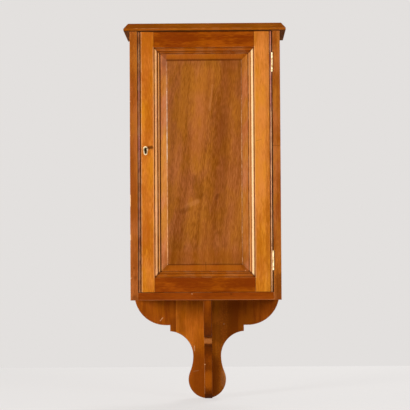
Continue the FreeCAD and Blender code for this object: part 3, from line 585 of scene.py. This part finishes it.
def mark_faces(shape, along, zone):
    """Write the masks that the finishes read on each face."""
    faces = shape.faces
    arris = faces.layers.float.new("arris")
    ends = faces.layers.float.new("end_grain")
    second = faces.layers.float.new("zone")
    for face in faces:
        face[arris] = float(is_arris(face))
        face[ends] = min(1.0, END_GRAIN_RISE * abs(face.normal[GRAIN_AXIS[along]]))
        face[second] = float(zone(face.calc_center_median())) if zone else 0.0


def add_object(name, data):
    made = bpy.data.objects.new(name, data)
    bpy.context.scene.collection.objects.link(made)
    return made


def add_mesh(name, shape, material):
    mesh = bpy.data.meshes.new(name)
    shape.to_mesh(mesh)
    shape.free()
    mesh.materials.clear()
    mesh.materials.append(material)
    return add_object(name, mesh)


def add_piece(name, shape, material, nodes):
    """Make an object of the shape, riding with the body of the nodes that it stands for."""
    piece = add_mesh(name, shape, material)
    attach(piece, BODY[nodes[0]])
    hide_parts(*nodes)
    return piece


def merged(node):
    shape = bmesh.new()
    shape.from_mesh(NODES[node].data)
    bmesh.ops.remove_doubles(shape, verts=shape.verts, dist=MERGE)
    return shape


def smoothed(shape):
    """Shade the rounds smooth, and keep the true corners."""
    for face in shape.faces:
        face.smooth = True
    for edge in shape.edges:
        edge.smooth = edge.calc_face_angle(0.0) < SMOOTH_ANGLE


def dressed(node, material, along="Z", zone=None):
    """The node's own shape with smooth rounds and masks for its finish."""
    shape = merged(node)
    mark_faces(shape, along, zone)
    smoothed(shape)
    piece = add_piece(node + "_finished", shape, material, [node])
    weigh = piece.modifiers.new("Even faces", "WEIGHTED_NORMAL")
    weigh.keep_sharp = True


def corners(points):
    """Lowest and highest corner of the box round the points."""
    return Vector(map(min, *points)), Vector(map(max, *points))


def field_corners():
    """Corners of the panel's raised field."""
    points = (vert.co for vert in NODES["door_panel"].data.vertices)
    return corners([point for point in points if point.y < FIELD_FACE + TOUCH])


def islands(node):
    """Corners of each separate solid of a node."""
    shape = merged(node)
    left = set(shape.verts)
    found = []
    while left:
        group = []
        reach = [left.pop()]
        while reach:
            vert = reach.pop()
            group.append(vert.co.copy())
            near = {edge.other_vert(vert) for edge in vert.link_edges} & left
            left -= near
            reach += near
        found.append(corners(group))
    shape.free()
    return sorted(found, key=lambda box: tuple(box[0]))


def slotted_screw(shape, head, way, radius):
    """Countersunk head with a slot, flush at head, driven along way."""
    slot = sizes().slot_width / 2
    circle = bmesh.ops.create_circle(shape, cap_ends=True, segments=SCREW_SIDES, radius=radius)
    cap = [circle["verts"][0].link_faces[0]]
    wall = bmesh.ops.extrude_edge_only(shape, edges=list(cap[0].edges))["geom"]
    lower = [item for item in wall if isinstance(item, bmesh.types.BMVert)]
    edges = [item for item in wall if isinstance(item, bmesh.types.BMEdge)]
    foot = [edge for edge in edges if all(vert in lower for vert in edge.verts)]
    bmesh.ops.scale(shape, verts=lower, vec=(SCREW_FOOT, SCREW_FOOT, 1.0))
    bmesh.ops.translate(shape, verts=lower, vec=(0.0, 0.0, SCREW_DEPTH * radius))
    bmesh.ops.contextual_create(shape, geom=foot)
    for side in (-slot, slot):
        geom = list(cap)
        geom += [edge for face in cap for edge in face.edges]
        geom += [vert for face in cap for vert in face.verts]
        bmesh.ops.bisect_plane(shape, geom=list(dict.fromkeys(geom)), dist=CUT, plane_co=(side, 0, 0),
                               plane_no=(1, 0, 0))
        cap = [face for face in shape.faces if all(abs(vert.co.z) < LEVEL for vert in face.verts)]
    middle = min(cap, key=lambda face: abs(face.calc_center_median().x))
    sunk = bmesh.ops.extrude_face_region(shape, geom=[middle])["geom"]
    bmesh.ops.delete(shape, geom=[middle], context="FACES_ONLY")
    floor = [item for item in sunk if isinstance(item, bmesh.types.BMVert)]
    bmesh.ops.translate(shape, verts=floor, vec=(0.0, 0.0, sizes().slot_depth))
    bmesh.ops.recalc_face_normals(shape, faces=shape.faces)
    turn = Vector((0, 0, 1)).rotation_difference(way).to_matrix().to_4x4()
    bmesh.ops.transform(shape, matrix=Matrix.Translation(head) @ turn, verts=shape.verts)


def slotted_screws(node, material, way_of, radius):
    """One piece with a slotted screw at the place of each solid of the node."""
    name = node + "_slotted"
    whole = bpy.data.meshes.new(name)
    for low, high in islands(node):
        way = way_of(low, high)
        head = (low + high) / 2
        axis = max(range(3), key=lambda part: abs(way[part]))
        head[axis] = low[axis] if way[axis] > 0 else high[axis]
        shape = bmesh.new()
        slotted_screw(shape, head, way, radius)
        shape.from_mesh(whole)
        shape.to_mesh(whole)
        shape.free()
    shape = bmesh.new()
    shape.from_mesh(whole)
    bpy.data.meshes.remove(whole)
    add_piece(name, shape, material, [node])


# Marks


class Mark(NamedTuple):
    """A stroke on a board, from start to end as seen from the front: a stain, a scratch, painted shade
    or a painted highlight.
    """
    start: tuple
    end: tuple
    width: float
    hue: str
    strength: float
    breaks: float


def spot(x, z, width, hue, strength, y=FRONT):
    return Mark((x, y, z), (x, y, z), width, hue, strength, 0.0)


def stroke(x, z, to_x, to_z, width, hue, strength, y=FRONT, breaks=0.0):
    return Mark((x, y, z), (to_x, y, to_z), width, hue, strength, breaks)


def upward(x, ends, width, hue, strength, breaks=0.0):
    return stroke(x, ends[0], x, ends[1], width, hue, strength, breaks=breaks)


def across(z, ends, width, hue, strength, y=FRONT):
    return stroke(ends[0], z, ends[1], z, width, hue, strength, y)


SIDE_MARKS = (
    # crack in the right edge, knot in the left one
    across(-0.267, (0.1745, 0.1925), 0.0009, "grime_and_shade", 0.6),
    spot(-0.1845, -0.58, 0.0045, "grime_and_shade", 0.5),
    # painted shade in the gap beside the hinge stile, darker left edge
    upward(0.173, DOOR_HEIGHT, 0.002, "grime_and_shade", 1.0),
    upward(-0.184, DOOR_HEIGHT, 0.016, "side_dark", 0.35),
    # dirt at the lower corners
    spot(-0.181, -0.6045, 0.007, "grime_and_shade", 0.3),
    spot(-0.183, BOTTOM_EDGE + 0.004, 0.014, "grime_and_shade", 0.5),
    stroke(0.187, -0.605, 0.185, BOTTOM_EDGE, 0.013, "grime_and_shade", 0.4),
    # polish knocked off the outer left arris
    spot(-0.1935, -0.1505, 0.0016, "worn_and_highlight", 0.9, EDGE_MARK),
    spot(-0.1935, -0.238, 0.0018, "worn_and_highlight", 0.8, EDGE_MARK),
    spot(-0.193, -0.606, 0.0022, "worn_and_highlight", 0.8, EDGE_MARK),
    stroke(-0.1935, -0.3925, -0.1935, -0.4205, 0.0018, "worn_and_highlight", 0.9, EDGE_MARK),
    stroke(-0.1935, -0.495, -0.193, -0.508, 0.0018, "worn_and_highlight", 0.9, EDGE_MARK),
)
BOTTOM_MARKS = (
    # paler lower arris: wear and painted highlight
    across(BOTTOM_EDGE, (-INNER, INNER), 0.0026, "worn_and_highlight", 0.08),
    spot(-0.036, BOX_FLOOR - 0.004, 0.002, "worn_and_highlight", 0.7),
    spot(0.0645, -0.648, 0.004, "grime_and_shade", 0.6),
)
OUTER_BACK_MARKS = (
    # lighter and darker patches, a scratch on the left
    stroke(-0.088, -0.69, -0.086, -0.705, 0.022, "middle_back_dark", 0.35, BACK),
    stroke(-0.086, -0.722, -0.083, -0.74, 0.016, "grime_and_shade", 0.3, BACK),
    # paler patch on the right board: painted light where the fin shades it
    across(-0.73, (0.055, 0.11), 0.03, "middle_back_dark", 0.6, BACK),
    stroke(-0.1255, -0.7225, -0.118, -0.714, 0.0009, "worn_and_highlight", 0.9, BACK),
)
MIDDLE_BACK_MARKS = (
    # painted shadow of the fin beside it, darker patch at the left joint
    stroke(0.027, -0.745, 0.027, -0.765, 0.024, "grime_and_shade", 0.35, BACK),
    stroke(-0.08, -0.72, -0.07, -0.745, 0.02, "grime_and_shade", 0.25, BACK),
    # knocks and scratches
    spot(0.0455, -0.7315, 0.0028, "worn_and_highlight", 0.9, BACK),
    stroke(-0.0365, -0.8575, -0.0235, -0.855, 0.0016, "worn_and_highlight", 0.9, BACK),
    stroke(-0.034, -0.79, -0.034, -0.803, 0.0018, "worn_and_highlight", 0.7, BACK),
    # painted light on the drop's right rim, painted shadow of the fin on the drop, darker right and
    # foot
    stroke(0.044, -0.856, 0.044, -0.892, 0.011, "worn_and_highlight", 0.2, BACK),
    stroke(0.02, -0.83, 0.02, -0.91, 0.016, "grime_and_shade", 0.45, BACK),
    stroke(0.1, -0.66, 0.09, -0.76, 0.07, "outer_back_dark", 0.9, BACK),
    stroke(-0.02, -0.85, -0.02, -0.93, 0.08, "outer_back_dark", 0.85, BACK),
)
FIN_MARKS = (
    # chips on the left arris, each at the depth that the fin's edge has there
    spot(-0.006, -0.8365, 0.0024, "worn_and_highlight", 0.9, -0.054),
    stroke(-0.0065, -0.84, -0.0065, -0.915, 0.001, "worn_and_highlight", 0.4, -0.06, breaks=0.5),
    # painted highlight on the step, painted shade on the neck below it, painted light on the drop,
    # painted shade on the foot
    across(-0.7725, (-0.004, 0.011), 0.01, "border_light", 0.42, -0.096),
    stroke(0.0035, -0.79, 0.0035, -0.83, 0.018, "grime_and_shade", 0.4, -0.066),
    stroke(0.0035, -0.865, 0.0035, -0.89, 0.018, "outer_back_light", 0.6, -0.065),
    stroke(0.0035, -0.914, 0.0035, -0.935, 0.024, "grime_and_shade", 0.75, -0.04),
)
LOCK_STILE_MARKS = (
    # painted highlight along the inner arris, painted shade in the quirk of the edge bead and in the
    # gap beside it
    upward(SIGHT_LEFT - 0.0010, SIGHT_HEIGHT, 0.003, "worn_and_highlight", 0.2),
    upward(-0.1665, DOOR_HEIGHT, 0.0021, "grime_and_shade", 1.0),
    upward(-0.164, DOOR_HEIGHT, 0.0011, "worn_and_highlight", 0.5, 0.5),
    upward(DOOR_LEFT + 0.0015, DOOR_HEIGHT, 0.003, "grime_and_shade", 0.35),
    # shade under the top, dirt round the keyhole, dark marks beside it
    across(BOX_CEILING, (DOOR_LEFT, SIGHT_LEFT), 0.03, "rail_light", 0.25),
    spot(KEY.x, KEY.z, 0.018, "grime_and_shade", 0.18),
    spot(KEY.x, KEY.z, 0.006, "grime_and_shade", 1.0),
    stroke(-0.1485, -0.272, -0.138, -0.27, 0.0066, "grime_and_shade", 0.85),
    spot(-0.1695, -0.274, 0.0016, "grime_and_shade", 0.8),
    spot(-0.163, -0.2745, 0.0014, "grime_and_shade", 0.7),
)
HINGE_STILE_MARKS = (
    # painted highlight along the inner arris, darker line, chipped edge bead and painted shade in its
    # quirk
    upward(SIGHT_RIGHT + 0.0010, SIGHT_HEIGHT, 0.003, "worn_and_highlight", 0.2),
    upward(0.161, DOOR_HEIGHT, 0.008, "grime_and_shade", 0.14),
    stroke(0.1695, BOX_FLOOR, 0.1705, -0.18, 0.0012, "worn_and_highlight", 0.9, breaks=0.4),
    stroke(0.172, BOX_FLOOR, 0.173, BOX_CEILING, 0.0019, "grime_and_shade", 1.0),
    # shade under the top, fine scratch
    across(BOX_CEILING, (SIGHT_RIGHT, DOOR_RIGHT), 0.04, "rail_light", 0.3),
    stroke(0.131, -0.255, 0.1465, -0.25, 0.001, "grime_and_shade", 0.3),
)
RAIL_MARKS = (
    # joints with the stiles, painted shadow in the gap under the top
    upward(SIGHT_LEFT, DOOR_HEIGHT, 0.0012, "grime_and_shade", 0.5),
    upward(SIGHT_RIGHT, DOOR_HEIGHT, 0.0012, "grime_and_shade", 0.5),
    across(BOX_CEILING, (SIGHT_LEFT, SIGHT_RIGHT), 0.0034, "grime_and_shade", 0.8),
)
KEYHOLE_MARKS = (
    # painted shade of the keyhole, darkest at its upper right corner
    upward(KEY.x, (KEY.z + 0.0045, KEY.z - 0.0055), 0.0046, "keyhole_shade", 1.0),
    spot(KEY.x + 0.0052, KEY.z + 0.0075, 0.0036, "keyhole_shade", 0.8),
)


def panel_marks():
    """Marks on the raised panel, round its field and on it."""
    low, high = field_corners()
    half_way = (low.z + high.z) / 2
    left_border = low.x - 0.0065
    ends = (low.x, high.x)
    return (
        # darker foot and edges of the field
        across(low.z + 0.018, ends, 0.026, "top_dark", 0.4),
        upward(low.x + 0.01, (low.z, high.z), 0.012, "grime_and_shade", 0.22),
        upward(high.x - 0.006, (high.z - 0.01, high.z - 0.09), 0.012, "grime_and_shade", 0.2),
        # painted shadow along the field's top and bottom edges, lighter band on the border above it
        across(high.z + 0.0008, ends, 0.0034, "grime_and_shade", 0.75),
        across(high.z + 0.0095, ends, 0.006, "level_light", 0.45),
        across(low.z, ends, 0.0022, "grime_and_shade", 0.65),
        # pale broken lines on its upright edges: flaked polish and painted highlight on the left,
        # painted highlight on the right
        upward(low.x, (half_way, high.z - 0.08), 0.0016, "chipped_and_highlight", 0.75, 0.5),
        upward(low.x, (high.z - 0.08, high.z - 0.004), 0.0016, "chipped_and_highlight", 0.3, 0.9),
        upward(low.x, (low.z, half_way), 0.0013, "worn_and_highlight", 0.8, 0.6),
        upward(high.x, (low.z, high.z - 0.1), 0.0014, "worn_and_highlight", 0.8, 0.7),
        upward(high.x, (high.z - 0.1, high.z), 0.0014, "worn_and_highlight", 0.3, 0.7),
        # soft darkening at its ends
        across(high.z - 0.006, ends, 0.02, "grime_and_shade", 0.16),
        across(low.z + 0.004, ends, 0.03, "grime_and_shade", 0.08),
        # light and dark bands, knot and swirl of the field
        stroke(0.0065, -0.084, -0.024, -0.278, 0.03, "border_dark", 0.3),
        stroke(0.0195, -0.11, 0.0115, -0.174, 0.004, "border_light", 0.22),
        stroke(0.0525, -0.071, 0.0475, -0.278, 0.016, "grime_and_shade", 0.1),
        stroke(-0.027, -0.355, -0.0165, -0.394, 0.02, "grime_and_shade", 0.28),
        stroke(-0.05, -0.4225, -0.0215, -0.4095, 0.009, "border_light", 0.28),
        stroke(-0.062, -0.436, -0.045, -0.428, 0.011, "grime_and_shade", 0.3),
        stroke(0.004, -0.472, 0.0015, -0.567, 0.024, "border_dark", 0.22),
        spot(0.078, -0.557, 0.024, "grime_and_shade", 0.15),
        # darker upper left border, painted light on the lower border and painted shade in its corners
        upward(low.x - 0.006, (-0.06, -0.23), 0.012, "edge_bead_dark", 0.2),
        upward(left_border, (high.z, high.z - 0.035), 0.009, "edge_bead_dark", 0.3),
        upward(left_border, (high.z + 0.012, high.z - 0.008), 0.009, "edge_bead_dark", 0.55),
        across(low.z - 0.009, ends, 0.009, "level_light", 0.5),
        spot(low.x - 0.004, low.z - 0.006, 0.012, "grime_and_shade", 0.35),
        spot(high.x + 0.004, low.z - 0.006, 0.012, "grime_and_shade", 0.35),
        # long bands of the field, small knot
        stroke(0.07, -0.071, 0.068, -0.548, 0.044, "border_dark", 0.16),
        stroke(-0.062, -0.08, -0.066, -0.56, 0.036, "grime_and_shade", 0.17),
        stroke(-0.074, -0.096, -0.085, -0.251, 0.022, "grime_and_shade", 0.14),
        stroke(0.047, -0.17, 0.046, -0.52, 0.013, "grime_and_shade", 0.16),
        stroke(0.0315, -0.3935, 0.0285, -0.402, 0.006, "grime_and_shade", 0.45),
        # crack and chip in the lower border
        stroke(0.0, -0.5655, 0.0, -0.5915, 0.001, "grime_and_shade", 0.8),
        spot(0.102, -0.588, 0.002, "worn_and_highlight", 0.9),
    )


def bead_marks():
    """Painted highlights on the crests of the upright beads, and painted shade in their quirks, valleys
    and at their foot.
    """
    rows = (
        # left: painted shade in the outer quirk, the valley and at the foot, painted highlights on both
        # crests
        (SIGHT_LEFT, 0.0004, 0.0014, "grime_and_shade", 0.6),
        (SIGHT_LEFT, BEAD_CREST, 0.0030, "worn_and_highlight", 0.5),
        (SIGHT_LEFT, VALLEY, 0.0018, "level_dark", 0.7),
        (SIGHT_LEFT, SMALL_CREST, 0.0018, "upright_light", 1.0),
        (SIGHT_LEFT, MOULDING_FOOT, 0.0028, "grime_and_shade", 0.9),
        # right: painted highlights beside the small crest and on the large crest, painted shade at the
        # foot
        (SIGHT_RIGHT, -(VALLEY + SMALL_CREST) / 2, 0.0040, "upright_light", 0.85),
        (SIGHT_RIGHT, -BEAD_CREST, 0.0036, "crest_highlight", 1.0),
        (SIGHT_RIGHT, -MOULDING_FOOT, 0.0016, "grime_and_shade", 0.4),
    )
    return [upward(edge + inward, SIGHT_HEIGHT, width, hue, strength)
            for edge, inward, width, hue, strength in rows]


def mitre_marks():
    """Dirt in the four mitres of the moulding."""
    low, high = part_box("moulding_bottom")[0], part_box("moulding_top")[1]
    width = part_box("moulding_left")[1].x - low.x
    marks = []
    for x, way_x in ((low.x, 1), (high.x, -1)):
        for z, way_z, broad in ((low.z, 1, 0.0030), (high.z, -1, 0.0018)):
            marks.append(stroke(x, z, x + way_x * width, z + way_z * width, broad, "grime_and_shade", 0.75))
    return marks


# Operators


class CABINET_OT_carcass(bpy.types.Operator):
    """Finish the boards of the box and its shelves"""
    bl_idname = "cabinet.carcass"
    bl_label = "Carcass boards"

    def execute(self, context):
        sides = wood("side_wood", "side", shift=1.3, bands=75.0, figure=(0.5, 0.35, 0.65),
                     marks=SIDE_MARKS)
        low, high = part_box("top_board")
        # painted shadow along the lower edge of the top's front
        painted_shade = (across(low.z, (low.x, high.x), 0.0013, "grime_and_shade", 0.65, low.y),)
        # the faces under the top take the darker tones of painted shade
        top = wood("top_wood", "top", along="X", shift=2.1, second="lower_face_shade", wear_and_highlight=0.15,
                   roughness=MATT, marks=painted_shade)
        bottom = wood("bottom_wood", "bottom", along="X", shift=3.7, wear_and_highlight=0.2, marks=BOTTOM_MARKS)
        bare = wood("bare_wood", "bare", along="X", shift=4.4, figure=(0.55, 0.25, 0.2), roughness=BARE)
        dressed("side_left", sides)
        dressed("side_right", sides)
        dressed("top_board", top, along="X", zone=lambda at: at.z < low.z + TOUCH)
        dressed("bottom_board", bottom, along="X")
        for node in ("shelf_lower", "shelf_upper", "hanging_rail"):
            dressed(node, bare, along="X")
        return {"FINISHED"}


class CABINET_OT_bracket(bpy.types.Operator):
    """Finish the back boards and the fin of the bracket"""
    bl_idname = "cabinet.bracket"
    bl_label = "Back and bracket"

    def execute(self, context):
        outer = wood("outer_back_wood", "outer_back", shift=5.2, bands=85.0, marks=OUTER_BACK_MARKS)
        middle = wood("middle_back_wood", "middle_back", shift=6.6, bands=85.0, marks=MIDDLE_BACK_MARKS)
        fin = wood("fin_wood", "fin", shift=7.3, bands=95.0, figure=(0.4, 0.35, 0.15), wear_and_highlight=0.1,
                   roughness=DULL_FIN, marks=FIN_MARKS)
        dressed("back_board_left", outer)
        dressed("back_board_right", outer)
        dressed("back_board_middle", middle)
        dressed("bracket_fin", fin)
        return {"FINISHED"}


class CABINET_OT_door_frame(bpy.types.Operator):
    """Finish the stiles and rails of the door"""
    bl_idname = "cabinet.door_frame"
    bl_label = "Door frame"

    def execute(self, context):
        # the quirks of the edge beads get painted shade
        stile = {"figure": (0.35, 0.45, 0.65), "second": "edge_bead", "wear_and_highlight": 0.35,
                 "grime_and_shade": (0.0009, 0.0024, 0.0030, 0.8)}
        lock = wood("lock_stile_wood", "lock_stile", shift=8.8, marks=LOCK_STILE_MARKS, **stile)
        hinge = wood("hinge_stile_wood", "hinge_stile", shift=9.4, marks=HINGE_STILE_MARKS, **stile)
        rails = wood("rail_wood", "rail", along="X", shift=10.2, figure=(0.5, 0.35, 0.75), wear_and_highlight=0.25,
                     marks=RAIL_MARKS)
        dressed("lock_stile", lock, zone=lambda at: at.x < DOOR_LEFT + EDGE_BEAD)
        dressed("hinge_stile", hinge, zone=lambda at: at.x > DOOR_RIGHT - EDGE_BEAD)
        dressed("top_rail", rails, along="X")
        dressed("bottom_rail", rails, along="X")
        return {"FINISHED"}


class CABINET_OT_door_panel(bpy.types.Operator):
    """Finish the raised panel and the moulding round it"""
    bl_idname = "cabinet.door_panel"
    bl_label = "Panel and moulding"

    def execute(self, context):
        panel = wood("panel_wood", "border", lean=math.radians(-5.0), shift=11.2, bands=34.0,
                     figure=(0.42, 0.4, 0.16), second="field", end_tint=LEVEL_BORDER,
                     marks=panel_marks())
        # depths at which the painted shade in the moulding's quirks starts, is full and ends
        quirks = (0.0026, 0.0062, 0.0120)
        mitres = mitre_marks()
        tall = wood("upright_moulding_wood", "upright", shift=12.5, grime_and_shade=(*quirks, 0.75), wear_and_highlight=0.3,
                    marks=bead_marks() + mitres)
        level = wood("level_moulding_wood", "level", along="X", shift=13.9, grime_and_shade=(*quirks, 0.5),
                     wear_and_highlight=0.1, marks=mitres)
        dressed("door_panel", panel, zone=lambda at: at.y < FIELD_FACE + TOUCH)
        dressed("moulding_left", tall)
        dressed("moulding_right", tall)
        dressed("moulding_top", level, along="X")
        dressed("moulding_bottom", level, along="X")
        return {"FINISHED"}


class CABINET_OT_hinges(bpy.types.Operator):
    """Finish the butt hinges"""
    bl_idname = "cabinet.hinges"
    bl_label = "Hinges"

    def execute(self, context):
        hues = colours()
        brass = metal("hinge_brass", hues.brass, hues.lock_brass, roughness=0.42, spots=120.0)
        for place in ("upper", "lower"):
            for part in ("hinge_side_leaf", "hinge_door_leaf", "hinge_pin"):
                dressed(place + "_" + part, brass)
        return {"FINISHED"}


class CABINET_OT_lock(bpy.types.Operator):
    """Finish the keyhole escutcheon and the cupboard lock"""
    bl_idname = "cabinet.lock"
    bl_label = "Lock"

    def execute(self, context):
        hues = colours()
        pale = metal("escutcheon_brass", hues.brass, hues.tarnish, roughness=0.38, spots=160.0,
                     marks=KEYHOLE_MARKS)
        dull = metal("lock_brass", hues.lock_brass, hues.tarnish, roughness=0.4, spots=90.0)
        dressed("keyhole_escutcheon", pale)
        for node in ("lock_plate", "lock_cap", "lock_bolt"):
            dressed(node, dull)
        return {"FINISHED"}


class CABINET_OT_fasteners(bpy.types.Operator):
    """Make the slotted screws and finish the nails"""
    bl_idname = "cabinet.fasteners"
    bl_label = "Screws and nails"

    def execute(self, context):
        hues = colours()
        measures = sizes()
        brass = metal("screw_brass", hues.lock_brass, hues.tarnish, roughness=0.35, spots=200.0)
        iron = metal("iron", hues.iron, hues.rust, roughness=0.5, spots=150.0)
        right = Vector((1, 0, 0))
        forward = Vector((0, -1, 0))
        down = Vector((0, 0, -1))

        def fin_way(low, high):
            return down if high.z - low.z > high.y - low.y else forward

        leaf = measures.leaf_screw_radius
        slotted_screws("hinge_screws_side", brass, lambda low, high: right, leaf)
        slotted_screws("hinge_screws_door", brass, lambda low, high: -right, leaf)
        slotted_screws("lock_screws", brass, lambda low, high: forward, measures.lock_screw_radius)
        slotted_screws("fin_screws", iron, fin_way, measures.fin_screw_radius)
        for node in ("back_nails", "top_nails"):
            dressed(node, iron)
        return {"FINISHED"}


# Stage


def soft_box(name, place, width, height, power):
    lamp = bpy.data.lights.new(name, "AREA")
    lamp.shape = "RECTANGLE"
    lamp.size = width
    lamp.size_y = height
    lamp.energy = power
    turn = (Vector(LAMP_AIM) - Vector(place)).to_track_quat("-Z", "Y").to_matrix().to_4x4()
    add_object(name, lamp).matrix_world = Matrix.Translation(place) @ turn


def seen_rays(tree):
    """1 on the rays that show the background, to the camera, in metal or through glass."""
    ray = put(tree, "LightPath").outputs
    mirrored = calc(tree, "MAXIMUM", ray["Is Glossy Ray"], ray["Is Transmission Ray"])
    return calc(tree, "MAXIMUM", ray["Is Camera Ray"], mirrored)


def pale_world(colour):
    """A pale background to look at, and an even light of its own strength."""
    world = bpy.data.worlds.new("studio")
    bpy.context.scene.world = world
    world.use_nodes = True
    tree = world.node_tree
    tree.nodes.clear()
    seen = seen_rays(tree)
    shown = put(tree, "Background", {"Color": linear(colour), "Strength": 1.0}).outputs[0]
    light = put(tree, "Background", {"Color": (1.0, 1.0, 1.0, 1.0), "Strength": AMBIENT}).outputs[0]
    both = put(tree, "MixShader", {0: seen, 1: light, 2: shown}).outputs[0]
    put(tree, "OutputWorld", {"Surface": both})


def camera():
    """Stand the camera where the front is seen from a little below the middle."""
    look = sizes()
    pitch, yaw, roll = look.camera_pitch, look.camera_yaw, look.camera_roll
    ahead = math.cos(pitch)
    forward = Vector((-math.sin(yaw) * ahead, math.cos(yaw) * ahead, math.sin(pitch)))
    level = Vector((math.cos(yaw), math.sin(yaw), 0.0))
    above = level.cross(forward)
    right = math.cos(roll) * level - math.sin(roll) * above
    up = math.sin(roll) * level + math.cos(roll) * above
    turn = Matrix((right, up, -forward)).transposed().to_4x4()
    lens = bpy.data.cameras.new("camera")
    lens.lens = look.camera_lens
    lens.sensor_width = FILM_WIDTH
    made = add_object("camera", lens)
    made.matrix_world = Matrix.Translation(look.camera_place) @ turn
    bpy.context.scene.camera = made


class CABINET_OT_stage(bpy.types.Operator):
    """Lay the floor, hang the lights and stand the camera"""
    bl_idname = "cabinet.stage"
    bl_label = "Stage"

    def execute(self, context):
        pale = colours().stage
        half = sizes().floor_width / 2
        middle = (0.0, sizes().floor_behind - half, CAD_BOX[0].z)
        shape = bmesh.new()
        bmesh.ops.create_grid(shape, x_segments=1, y_segments=1, size=half)
        bmesh.ops.translate(shape, verts=shape.verts, vec=middle)
        material, tree = empty_material("floor")
        seen = seen_rays(tree)
        dim = tuple(FLOOR_SHADE * part for part in linear(pale))
        colour = mix(tree, seen, linear(pale), dim)
        glow = calc(tree, "MULTIPLY", seen, FLOOR_GLOW)
        shade(tree, {"Base Color": colour, "Roughness": FLOOR_ROUGHNESS, "Emission Color": linear(pale),
                     "Emission Strength": glow})
        floor = add_mesh("floor", shape, material)

        pale_world(pale)
        for lamp in LAMPS:
            soft_box(*lamp)
        camera()
        context.scene.view_settings.view_transform = "Standard"
        return {"FINISHED"}


# Panel and registration


class CABINET_PT_finish(bpy.types.Panel):
    bl_idname = "CABINET_PT_finish"
    bl_label = "Wall cabinet"
    bl_space_type = "VIEW_3D"
    bl_region_type = "UI"
    bl_category = "Cabinet"

    def draw(self, context):
        for operator in OPERATORS:
            self.layout.operator(operator.bl_idname)
        for settings in (colours(), sizes()):
            for name in settings.__annotations__:
                self.layout.prop(settings, name)


OPERATORS = (
    CABINET_OT_carcass,
    CABINET_OT_bracket,
    CABINET_OT_door_frame,
    CABINET_OT_door_panel,
    CABINET_OT_hinges,
    CABINET_OT_lock,
    CABINET_OT_fasteners,
    CABINET_OT_stage,
)
CLASSES = (CabinetColours, CabinetSizes, *OPERATORS, CABINET_PT_finish)


def register():
    for made in CLASSES:
        bpy.utils.register_class(made)
    bpy.types.Scene.cabinet_colours = PointerProperty(type=CabinetColours)
    bpy.types.Scene.cabinet_sizes = PointerProperty(type=CabinetSizes)


def unregister():
    del bpy.types.Scene.cabinet_sizes
    del bpy.types.Scene.cabinet_colours
    for made in reversed(CLASSES):
        bpy.utils.unregister_class(made)


def main():
    register()
    board_grain_group()
    pale_arris_group()
    crevice_shade_group()
    inside_group()
    stroke_group()
    bpy.ops.cabinet.carcass()
    bpy.ops.cabinet.bracket()
    bpy.ops.cabinet.door_frame()
    bpy.ops.cabinet.door_panel()
    bpy.ops.cabinet.hinges()
    bpy.ops.cabinet.lock()
    bpy.ops.cabinet.fasteners()
    bpy.ops.cabinet.stage()


if __name__ == "__main__":
    main()
